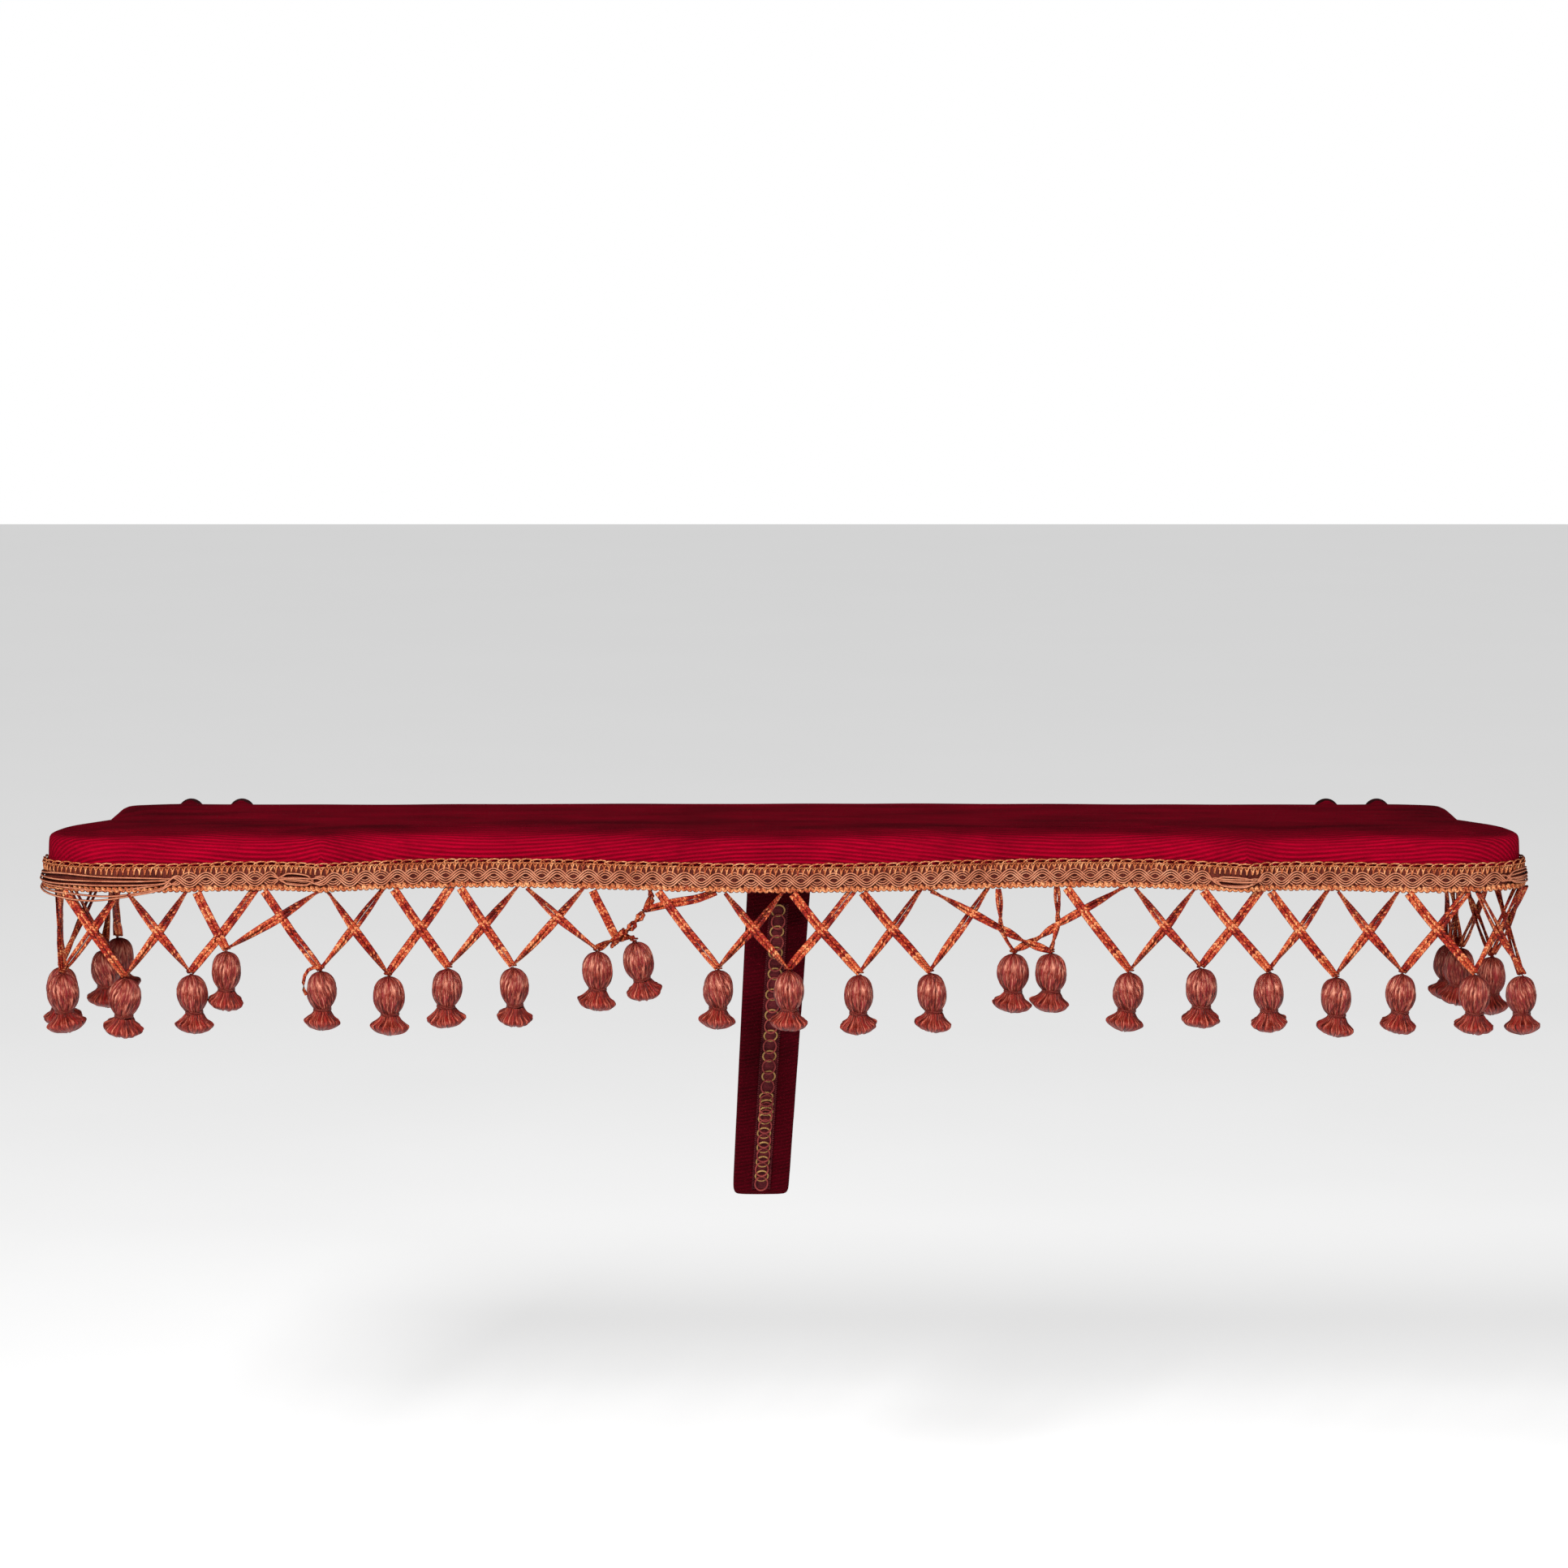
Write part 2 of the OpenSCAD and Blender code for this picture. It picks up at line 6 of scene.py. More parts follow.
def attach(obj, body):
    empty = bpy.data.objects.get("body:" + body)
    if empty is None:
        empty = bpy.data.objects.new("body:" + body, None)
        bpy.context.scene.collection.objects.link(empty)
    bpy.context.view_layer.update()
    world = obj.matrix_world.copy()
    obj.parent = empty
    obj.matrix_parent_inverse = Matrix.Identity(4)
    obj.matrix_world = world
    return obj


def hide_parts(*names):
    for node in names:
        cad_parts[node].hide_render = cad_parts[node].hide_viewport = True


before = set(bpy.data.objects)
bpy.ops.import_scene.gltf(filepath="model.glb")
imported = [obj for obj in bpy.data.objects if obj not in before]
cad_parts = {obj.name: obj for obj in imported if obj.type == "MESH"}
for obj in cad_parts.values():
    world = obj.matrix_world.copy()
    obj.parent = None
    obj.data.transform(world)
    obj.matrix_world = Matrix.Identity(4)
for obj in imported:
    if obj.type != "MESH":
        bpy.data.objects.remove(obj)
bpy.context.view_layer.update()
print("stage: frame loaded")


def clearSelection():
    if bpy.context.object and bpy.context.object.mode != "OBJECT":
        bpy.ops.object.mode_set(mode="OBJECT")
    bpy.ops.object.select_all(action="DESELECT")


def pickOnly(obj):
    clearSelection()
    obj.select_set(True)
    bpy.context.view_layer.objects.active = obj
    return obj


def applyAll(obj):
    pickOnly(obj)
    for mod in list(obj.modifiers):
        bpy.ops.object.modifier_apply(modifier=mod.name)
    return obj


def settle(obj):
    pickOnly(obj)
    bpy.ops.object.transform_apply(location=True, rotation=True, scale=True)
    return obj


def toMesh(obj):
    pickOnly(obj)
    bpy.ops.object.convert(target="MESH")
    return bpy.context.object


def cleanNormals(obj, mergeAt=0.00001):
    pickOnly(obj)
    bpy.ops.object.mode_set(mode="EDIT")
    bpy.ops.mesh.select_all(action="SELECT")
    bpy.ops.mesh.remove_doubles(threshold=mergeAt)
    bpy.ops.mesh.normals_make_consistent(inside=False)
    bpy.ops.object.mode_set(mode="OBJECT")
    return obj


def copyOf(obj, name):
    twin = obj.copy()
    twin.data = obj.data.copy()
    twin.name = name
    bpy.context.collection.objects.link(twin)
    return twin


def joined(pieces, name):
    clearSelection()
    for p in pieces:
        p.select_set(True)
    bpy.context.view_layer.objects.active = pieces[0]
    if len(pieces) > 1:
        bpy.ops.object.join()
    pieces[0].name = name
    return pieces[0]


def finishPiece(obj, body, material, slotName, *stoodFor):
    obj.data.materials.clear()
    obj.data.materials.append(material)
    if stoodFor:
        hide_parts(*stoodFor)
    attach(obj, body)
    return obj


def lathe(name, profile, steps):
    # one point extruded along the profile, then spun about the upright axis
    clearSelection()
    bpy.ops.mesh.primitive_plane_add(size=0.001)
    obj = bpy.context.object
    obj.name = name
    bpy.ops.object.mode_set(mode="EDIT")
    bpy.ops.mesh.select_all(action="SELECT")
    bpy.ops.mesh.merge(type="CENTER")
    bpy.ops.transform.translate(value=(profile[0][0], 0, profile[0][1]))
    for a, b in zip(profile, profile[1:]):
        bpy.ops.mesh.extrude_region_move(
            TRANSFORM_OT_translate={"value": (b[0] - a[0], 0, b[1] - a[1])})
    bpy.ops.mesh.select_all(action="SELECT")
    bpy.ops.mesh.spin(steps=steps, angle=math.tau, center=(0, 0, 0), axis=(0, 0, 1))
    bpy.ops.object.mode_set(mode="OBJECT")
    return cleanNormals(obj)


def layCords(name, runs, profile=None, thick=0.001, ringSides=2):
    # every run is a list of (point, tilt, width factor); all runs share one section
    data = bpy.data.curves.new(name, "CURVE")
    data.dimensions = "3D"
    data.twist_mode = "Z_UP"
    data.use_fill_caps = True
    if profile is None:
        data.bevel_depth = thick / 2
        data.bevel_resolution = ringSides
    else:
        data.bevel_mode = "OBJECT"
        data.bevel_object = profile
    for run in runs:
        line = data.splines.new("POLY")
        line.points.add(len(run) - 1)
        for point, (at, tilt, width) in zip(line.points, run):
            point.co = (at[0], at[1], at[2], 1)
            point.tilt = tilt
            point.radius = width
    obj = bpy.data.objects.new(name, data)
    bpy.context.collection.objects.link(obj)
    obj = toMesh(obj)
    for poly in obj.data.polygons:
        poly.use_smooth = True
    return obj


def sectionCurve(name, outline):
    data = bpy.data.curves.new(name, "CURVE")
    data.dimensions = "2D"
    line = data.splines.new("POLY")
    line.points.add(len(outline) - 1)
    for point, (x, y) in zip(line.points, outline):
        point.co = (x, y, 0, 1)
    line.use_cyclic_u = True
    obj = bpy.data.objects.new(name, data)
    bpy.context.collection.objects.link(obj)
    obj.hide_render = True
    return obj


def dropObject(obj):
    bpy.data.objects.remove(obj, do_unlink=True)


def smoothStep(t):
    t = max(0.0, min(1.0, t))
    return t * t * (3 - 2 * t)


def wobble(x, seed, size=1.0):
    return size * noise.noise(Vector((x, seed * 7.13, seed * 3.7)))


def newMaterial(name):
    mat = bpy.data.materials.new(name)
    mat.use_nodes = True
    nodes, links = mat.node_tree.nodes, mat.node_tree.links
    shader = nodes["Principled BSDF"]

    def add(kind, **given):
        n = nodes.new(kind)
        for key, value in given.items():
            setattr(n, key, value)
        return n

    def put(target, value):
        if isinstance(value, (int, float)):
            target.default_value = value
        elif isinstance(value, tuple):
            target.default_value = value if len(value) != 3 or target.type == "VECTOR" else (*value, 1)
        else:
            links.new(value, target)

    def maths(operation, a, b=0.0, c=None):
        n = add("ShaderNodeMath", operation=operation)
        put(n.inputs[0], a)
        put(n.inputs[1], b)
        if c is not None:
            put(n.inputs[2], c)
        return n.outputs[0]

    def mixed(factor, a, b, blend="MIX"):
        n = add("ShaderNodeMix", data_type="RGBA", blend_type=blend)
        put(n.inputs[0], factor)
        put(n.inputs[6], a)
        put(n.inputs[7], b)
        return n.outputs[2]

    def grain(coords, scale, detail=2.0, rough=0.5):
        n = add("ShaderNodeTexNoise")
        put(n.inputs["Vector"], coords)
        put(n.inputs["Scale"], scale)
        put(n.inputs["Detail"], detail)
        put(n.inputs["Roughness"], rough)
        return n.outputs["Fac"]

    def stretched(coords, scale):
        n = add("ShaderNodeMapping")
        put(n.inputs["Vector"], coords)
        n.inputs["Scale"].default_value = scale
        return n.outputs[0]

    def ramp(factor, *stops):
        n = add("ShaderNodeValToRGB")
        put(n.inputs[0], factor)
        bits = n.color_ramp.elements
        while len(bits) < len(stops):
            bits.new(0.5)
        for bit, (at, colour) in zip(bits, stops):
            bit.position = at
            bit.color = (*colour, 1)
        return n.outputs[0]

    def ranged(value, low, high, outLow=0.0, outHigh=1.0):
        n = add("ShaderNodeMapRange")
        put(n.inputs[0], value)
        for k, v in zip((1, 2, 3, 4), (low, high, outLow, outHigh)):
            n.inputs[k].default_value = v
        return n.outputs[0]

    def bumped(height, distance, strength=1.0, over=None):
        n = add("ShaderNodeBump")
        put(n.inputs["Height"], height)
        n.inputs["Distance"].default_value = distance
        n.inputs["Strength"].default_value = strength
        if over is not None:
            links.new(over, n.inputs["Normal"])
        return n.outputs[0]

    def sets(**values):
        names = {"colour": "Base Color", "rough": "Roughness", "normal": "Normal", "metal": "Metallic",
                 "sheen": "Sheen Weight", "sheenRough": "Sheen Roughness", "sheenTint": "Sheen Tint",
                 "specular": "Specular IOR Level", "aniso": "Anisotropic"}
        for key, value in values.items():
            put(shader.inputs[names[key]], value)

    class kit:
        pass
    k = kit()
    k.mat, k.add, k.maths, k.mixed, k.grain, k.stretched = mat, add, maths, mixed, grain, stretched
    k.ramp, k.ranged, k.bumped, k.sets, k.links = ramp, ranged, bumped, sets, links
    k.place = add("ShaderNodeTexCoord").outputs["Object"]
    return k


def paintedShadeBetweenCords(obj):
    # how far a cord's surface turns up or down, for the painted shade between cords
    edge = obj.data.attributes.new("edge", "FLOAT", "POINT")
    for v in obj.data.vertices:
        edge.data[v.index].value = abs(v.normal.z)


def readAttribute(k, name, part="Fac"):
    n = k.add("ShaderNodeAttribute", attribute_name=name)
    return n.outputs[part]


# deep is the velvet's colour in painted shade on the top, bright its painted-lit front
velvetLook = dict(deep=(0.046, 0.0, 0.003), bright=(0.36, 0.0, 0.016), rowPitch=2.6, rowDepth=0.0006)


def velvetMaterial(name, deep, bright, rowDepth):
    k = newMaterial(name)
    rows = readAttribute(k, "row")                      # cloth rows, counted in millimetres
    shiver = k.grain(k.stretched(k.place, (90, 90, 300)), 1.0, 3.0)
    rows = k.maths("ADD", rows, k.maths("MULTIPLY", shiver, 0.5))
    phase = k.maths("MULTIPLY", rows, math.tau / velvetLook["rowPitch"])
    ridge = k.maths("MULTIPLY_ADD", k.maths("COSINE", phase), 0.5, 0.5)
    pile = k.grain(k.place, 1400.0, 4.0, 0.7)
    patches = k.grain(k.stretched(k.place, (14, 60, 60)), 1.0, 4.0, 0.6)
    strokes = k.grain(k.stretched(k.place, (40, 700, 700)), 1.0, 3.0, 0.6)
    wornAndLit = readAttribute(k, "wornAndLit")                     # painted light: lighter on the front roll and front-facing parts, with a painted shade band behind; part of the light rim is pressed, faded pile
    tone = k.mixed(wornAndLit, deep, bright)
    tone = k.mixed(k.ranged(ridge, 0.05, 0.75), k.mixed(1.0, tone, (0.40, 0.35, 0.38), "MULTIPLY"), tone)
    tone = k.mixed(k.ranged(patches, 0.35, 0.7, 0.0, 0.35), tone, bright)
    tone = k.mixed(k.ranged(strokes, 0.30, 0.72, 0.0, 0.45), tone, deep)
    tone = k.mixed(k.ranged(pile, 0.55, 0.8, 0.0, 0.5), tone, (0.32, 0.004, 0.02))
    height = k.maths("ADD", k.maths("MULTIPLY", ridge, 1.0), k.maths("MULTIPLY", pile, 0.9))
    k.sets(colour=tone, rough=0.95, specular=0.03, sheen=0.04, sheenRough=0.45,
           sheenTint=(0.8, 0.01, 0.03), normal=k.bumped(height, rowDepth))
    return k.mat


def cordMaterial(name, stops, twist, pitch, rough=0.5, depth=0.00018, toneScale=60.0):
    # UV: u runs along the cord in millimetres, v goes round it
    k = newMaterial(name)
    uv = k.add("ShaderNodeUVMap", uv_map="UVMap").outputs[0]
    split = k.add("ShaderNodeSeparateXYZ")
    k.links.new(uv, split.inputs[0])
    turn = k.maths("MULTIPLY_ADD", split.outputs[1], twist, k.maths("DIVIDE", split.outputs[0], pitch))
    strand = k.maths("PINGPONG", turn, 0.5)
    fine = k.grain(k.place, 2600.0, 3.0)
    tone = k.grain(k.place, toneScale, 3.0, 0.65)
    blotch = k.grain(k.place, toneScale * 7, 2.0)
    colour = k.ramp(k.maths("ADD", k.maths("MULTIPLY", tone, 0.6), k.maths("MULTIPLY", blotch, 0.4)), *stops)
    colour = k.mixed(k.ranged(strand, 0.0, 0.25), k.mixed(1.0, colour, (0.5, 0.42, 0.4), "MULTIPLY"), colour)
    # painted shade: the colour darkens where the cord surface turns up or down, between neighbouring cords
    colour = k.mixed(k.ranged(readAttribute(k, "edge"), 0.22, 0.85, 0.0, 1.0), colour,
                     k.mixed(1.0, colour, (0.16, 0.035, 0.03), "MULTIPLY"))
    height = k.maths("ADD", strand, k.maths("MULTIPLY", fine, 0.25))
    k.sets(colour=colour, rough=rough, specular=0.1, normal=k.bumped(height, depth))
    return k.mat


def braidMaterial(name, gold, copper, crimson, dark, perMm=0.66):
    # flat braid: a chevron of slanting strands on either face
    k = newMaterial(name)
    uv = k.add("ShaderNodeUVMap", uv_map="UVMap").outputs[0]
    split = k.add("ShaderNodeSeparateXYZ")
    k.links.new(uv, split.inputs[0])
    across = k.maths("PINGPONG", k.maths("MULTIPLY", split.outputs[1], 4.0), 1.0)
    run = k.maths("MULTIPLY_ADD", split.outputs[0], perMm, k.maths("MULTIPLY", across, 0.9))
    index = k.maths("FLOOR", run)
    inside = k.maths("PINGPONG", run, 0.5)
    hue = k.add("ShaderNodeTexWhiteNoise", noise_dimensions="2D")
    pair = k.add("ShaderNodeCombineXYZ")
    k.links.new(index, pair.inputs[0])
    k.links.new(k.maths("FLOOR", k.maths("MULTIPLY", split.outputs[1], 4.0)), pair.inputs[1])
    k.links.new(pair.outputs[0], hue.inputs["Vector"])
    drift = k.grain(k.place, 55.0, 2.0)
    pickTone = k.maths("ADD", k.maths("MULTIPLY", hue.outputs["Value"], 0.62),
                       k.maths("MULTIPLY", drift, 0.45))
    tone = k.ramp(pickTone, (0.16, dark), (0.42, crimson), (0.66, copper), (0.96, gold))
    fine = k.grain(k.place, 2800.0, 2.0)
    # painted shade in the gaps between strands
    tone = k.mixed(k.ranged(inside, 0.0, 0.26), k.mixed(1.0, tone, (0.26, 0.16, 0.14), "MULTIPLY"), tone)
    tone = k.mixed(k.ranged(fine, 0.45, 0.8, 0.0, 0.35), tone,
                   k.mixed(1.0, tone, (1.6, 1.5, 1.4), "MULTIPLY"))
    # painted shade: the braid darkens toward its two long edges
    edge = k.ranged(across, 0.0, 0.34)
    tone = k.mixed(edge, k.mixed(1.0, tone, (0.26, 0.10, 0.09), "MULTIPLY"), tone)
    height = k.maths("ADD", k.maths("MULTIPLY", inside, 1.6), k.maths("MULTIPLY", edge, 0.5))
    k.sets(colour=tone, rough=0.42, specular=0.1,
           normal=k.bumped(height, 0.0003))
    return k.mat


def flossMaterial(name, low, body, high, rose, rough=0.32):
    # silk strands follow the tassel's meridians; the attribute holds direction and height
    k = newMaterial(name)
    floss = readAttribute(k, "floss", "Vector")
    wide = k.grain(k.stretched(floss, (7, 7, 2.2)), 1.0, 4.0, 0.62)
    fine = k.grain(k.stretched(floss, (34, 34, 1.6)), 1.0, 3.0, 0.6)
    hair = k.grain(k.stretched(floss, (95, 95, 1.2)), 1.0, 2.0, 0.6)
    mix = k.maths("ADD", k.maths("MULTIPLY", wide, 0.45), k.maths("MULTIPLY", fine, 0.55))
    height = k.add("ShaderNodeSeparateXYZ")
    k.links.new(floss, height.inputs[0])
    # painted highlight: the silk's colour is lighter over the head's shoulder
    shoulderHighlight = k.maths("PINGPONG", k.ranged(height.outputs[2], -0.2, -1.5, 0.0, 2.0), 1.0)
    mix = k.maths("MULTIPLY_ADD", shoulderHighlight, 0.06, mix)
    # the high stop paints highlight streaks along with the silk's own lighter strands
    tone = k.ramp(mix, (0.45, low), (0.54, body), (0.67, high))
    blush = k.grain(k.stretched(floss, (5, 5, 1.3)), 1.0, 2.0)
    tone = k.mixed(k.ranged(blush, 0.48, 0.68, 0.0, 0.75), tone, rose)
    tone = k.mixed(k.ranged(hair, 0.35, 0.62), k.mixed(1.0, tone, (0.52, 0.40, 0.38), "MULTIPLY"), tone)
    relief = k.maths("ADD", k.maths("MULTIPLY", fine, 1.2), k.maths("MULTIPLY", hair, 0.6))
    k.sets(colour=tone, rough=rough, specular=0.2, normal=k.bumped(relief, 0.00045))
    return k.mat


def woodMaterial():
    k = newMaterial("pinePlaned")
    rings = k.grain(k.stretched(k.place, (3, 45, 45)), 1.0, 4.0, 0.6)
    lines = k.add("ShaderNodeTexWave", wave_type="BANDS", bands_direction="Y")
    k.links.new(k.place, lines.inputs["Vector"])
    lines.inputs["Scale"].default_value = 38
    lines.inputs["Distortion"].default_value = 9
    lines.inputs["Detail"].default_value = 3
    lines.inputs["Detail Scale"].default_value = 0.6
    tone = k.ramp(k.maths("MULTIPLY_ADD", lines.outputs["Fac"], 0.5, k.maths("MULTIPLY", rings, 0.5)),
                  (0.2, (0.55, 0.33, 0.15)), (0.7, (0.68, 0.45, 0.23)))
    dust = k.grain(k.place, 30.0, 5.0)
    tone = k.mixed(k.ranged(dust, 0.5, 0.75, 0.0, 0.4), tone, (0.30, 0.18, 0.09))
    k.sets(colour=tone, rough=0.68, specular=0.3, normal=k.bumped(rings, 0.0003))
    return k.mat


def metalMaterial(name, clean, tarnish, rough):
    k = newMaterial(name)
    spots = k.grain(k.place, 120.0, 5.0, 0.65)
    brush = k.grain(k.stretched(k.place, (60, 900, 900)), 1.0, 2.0)
    tone = k.mixed(k.ranged(spots, 0.42, 0.66), clean, tarnish)
    k.sets(colour=tone, metal=1.0, rough=k.ranged(spots, 0.3, 0.7, rough, rough + 0.28),
           normal=k.bumped(k.maths("ADD", brush, spots), 0.00012))
    return k.mat


def liningMaterial():
    k = newMaterial("liningCotton")
    split = k.add("ShaderNodeSeparateXYZ")
    k.links.new(k.place, split.inputs[0])
    warp = k.maths("SINE", k.maths("MULTIPLY", split.outputs[0], 5200))
    weft = k.maths("SINE", k.maths("MULTIPLY", split.outputs[1], 4600))
    weave = k.maths("MULTIPLY_ADD", k.maths("MULTIPLY", warp, weft), 0.5, 0.5)
    stain = k.grain(k.place, 14.0, 5.0, 0.6)
    tone = k.ramp(stain, (0.3, (0.10, 0.035, 0.022)), (0.7, (0.22, 0.085, 0.05)))
    tone = k.mixed(weave, k.mixed(1.0, tone, (0.6, 0.6, 0.6), "MULTIPLY"), tone)
    k.sets(colour=tone, rough=0.9, specular=0.2, sheen=0.1, normal=k.bumped(weave, 0.0002))
    return k.mat


velvetTop = velvetMaterial("velvetShelf", velvetLook["deep"], velvetLook["bright"], velvetLook["rowDepth"])
# the strut velvet's bright colour is its painted-lit side edges
velvetStrut = velvetMaterial("velvetStrut", (0.017, 0.0, 0.001), (0.075, 0.0, 0.004), 0.00025)
# silk and yarn colours, dark to light, each with the stop on its grain
waveCord = cordMaterial("waveCordSilk", (
    (0.30, (0.36, 0.105, 0.052)), (0.50, (0.56, 0.21, 0.115)), (0.70, (0.72, 0.34, 0.20))),
    0.0, 0.36, rough=0.42)
picotCord = cordMaterial("picotYarn", (
    (0.36, (0.22, 0.022, 0.014)), (0.48, (0.50, 0.135, 0.045)), (0.62, (0.78, 0.38, 0.18))),
    2.0, 0.9, rough=0.55, toneScale=210.0)
tapeCloth = cordMaterial("tapeCloth", ((0.35, (0.055, 0.008, 0.006)), (0.65, (0.14, 0.024, 0.014))),
                         0.0, 1.1, rough=0.8, toneScale=160.0)
netBraid = braidMaterial("soutacheBraid", gold=(0.80, 0.33, 0.14), copper=(0.48, 0.080, 0.026),
                         crimson=(0.28, 0.014, 0.008), dark=(0.07, 0.004, 0.003))
# the floss high colours paint highlight streaks on top of the silk's own colour
headFloss = flossMaterial("tasselFloss", low=(0.050, 0.002, 0.001), body=(0.32, 0.036, 0.020),
                          high=(1.0, 0.46, 0.31), rose=(0.30, 0.020, 0.026), rough=0.30)
skirtFloss = flossMaterial("skirtFloss", low=(0.060, 0.002, 0.001), body=(0.36, 0.034, 0.018),
                           high=(0.95, 0.36, 0.23), rose=(0.34, 0.018, 0.016), rough=0.36)
chainGold = cordMaterial("chainGold", ((0.35, (0.20, 0.095, 0.030)), (0.65, (0.42, 0.25, 0.085))),
                         1.0, 0.8, rough=0.5)
chainRose = cordMaterial("chainRose", ((0.35, (0.13, 0.012, 0.016)), (0.65, (0.30, 0.055, 0.045))),
                         1.0, 0.8, rough=0.5)
chainTape = cordMaterial("chainTape", ((0.35, (0.035, 0.002, 0.005)), (0.65, (0.12, 0.014, 0.018))),
                         0.0, 0.9, rough=0.8, toneScale=150.0)
pine = woodMaterial()
darkIron = metalMaterial("japannedIron", (0.035, 0.008, 0.010), (0.02, 0.006, 0.006), 0.5)
agedBrass = metalMaterial("agedBrass", (0.70, 0.47, 0.17), (0.20, 0.11, 0.045), 0.32)
dullSteel = metalMaterial("dullSteel", (0.58, 0.57, 0.55), (0.22, 0.19, 0.16), 0.35)
liningCloth = liningMaterial()
print("stage: materials")


shelfPlan = dict(halfWidth=418.0, depth=140.0, sideLobe=25.0, notchY=-66.0, backR=18.0, backY=-12.0,
                 bowX=171.0, cuspX=260.0, dipX=290.0, lobeX=368.0, coverTop=34.2)


def standOut(x):
    p = shelfPlan
    if x < p["bowX"]:
        return 10.5 * (1 + math.cos(math.pi * x / p["bowX"]))
    if x < p["cuspX"]:
        return 20 * ((x - p["bowX"]) / (p["cuspX"] - p["bowX"])) ** 2
    if x < p["dipX"]:
        return 12 + 8 * (1 - (x - p["cuspX"]) / (p["dipX"] - p["cuspX"])) ** 2
    return 12 + 4 * (1 - math.cos(math.pi * (min(x, p["lobeX"]) - p["dipX"]) / (p["lobeX"] - p["dipX"])))


def frontAt(x):
    return -shelfPlan["depth"] + 21 - standOut(abs(x))


def halfOutline():
    p = shelfPlan
    cornerY, frontY = -p["depth"] + 28, frontAt(p["lobeX"])
    notchX = p["halfWidth"] - p["sideLobe"]
    backX = notchX - 1
    pts = [(p["bowX"] * i / 42, frontAt(p["bowX"] * i / 42)) for i in range(43)]
    for lo, hi, n in ((p["bowX"], p["cuspX"], 22), (p["cuspX"], p["dipX"], 8), (p["dipX"], p["lobeX"], 18)):
        pts += [(lo + (hi - lo) * i / n, frontAt(lo + (hi - lo) * i / n)) for i in range(1, n + 1)]
    for i in range(1, 17):
        a = math.radians(90 * i / 16)
        pts.append((p["lobeX"] + (p["halfWidth"] - p["lobeX"]) * math.sin(a),
                    cornerY - (cornerY - frontY) * math.cos(a)))
    for i in range(1, 12):
        t = i / 11
        pts.append((notchX + p["sideLobe"] * math.cos(math.radians(90 * t)),
                    cornerY + (p["notchY"] - cornerY) * t))
    for i in range(1, 11):
        t = i / 10
        pts.append((notchX + (backX - notchX) * math.sin(math.radians(90 * t)),
                    p["notchY"] + (p["backY"] - p["notchY"]) * t))
    for i in range(1, 9):
        a = math.radians(90 * i / 8)
        pts.append((backX - p["backR"] * (1 - math.cos(a)), p["backY"] + p["backR"] * math.sin(a)))
    return pts


halfLine = halfOutline()
runLen = [0.0]
for a, b in zip(halfLine, halfLine[1:]):
    runLen.append(runLen[-1] + math.dist(a, b))


def halfPos(s):
    s = max(0.0, min(s, runLen[-1] - 0.001))
    i = next(j for j in range(len(runLen) - 1) if runLen[j + 1] > s)
    t = (s - runLen[i]) / (runLen[i + 1] - runLen[i])
    return Vector(halfLine[i]).lerp(Vector(halfLine[i + 1]), t)


def alongPlan(s):
    # position, direction to the right, and outward direction at a distance along the outline
    p = halfPos(abs(s))
    d = (halfPos(min(abs(s) + 2, runLen[-1] - 0.01)) - halfPos(max(abs(s) - 2, 0))).normalized()
    if abs(s) < 0.5:
        d = Vector((1, 0))
    elif s < 0:
        d = Vector((d.x, -d.y))
    return Vector((math.copysign(p.x, s) if s else 0.0, p.y)), d, Vector((d.y, -d.x))


planCache = [alongPlan(k * 0.5) for k in range(-int(runLen[-1] * 2), int(runLen[-1] * 2) + 1)]
planMiddle = int(runLen[-1] * 2)


def spot(s, d, z):
    # a place in metres: s along the outline, d out from the velvet, z up
    f = s * 2 + planMiddle
    i = max(0, min(len(planCache) - 2, int(math.floor(f))))
    t = f - i
    (p, _, n), (q, _, m) = planCache[i], planCache[i + 1]
    at = p.lerp(q, t) + d * n.lerp(m, t)
    return Vector((at.x, at.y, z)) / 1000


def headingTurn(s):
    _, d, _ = alongPlan(s)
    return math.atan2(d.y, d.x)


def scaledUv(obj, lengthMm):
    for loop in obj.data.uv_layers[0].data:
        loop.uv = (loop.uv[0] * lengthMm, loop.uv[1])


coverShape = dict(lugs=(321.0, 351.0), inset=0.9, chamfer=2.6, voxel=0.004, pressure=3.0, frames=14,
                  cap=0.0022, hem=12.0, hemZ=8.55, hemTuck=0.0135, lugHump=0.0044)


def planRing(d, backY):
    ring = []
    for s in [k * 4.0 for k in range(-int(runLen[-1] / 4), int(runLen[-1] / 4) + 1)]:
        p, _, n = alongPlan(s)
        p = p + d * n
        ring.append((p.x, min(p.y, backY)))
    return ring


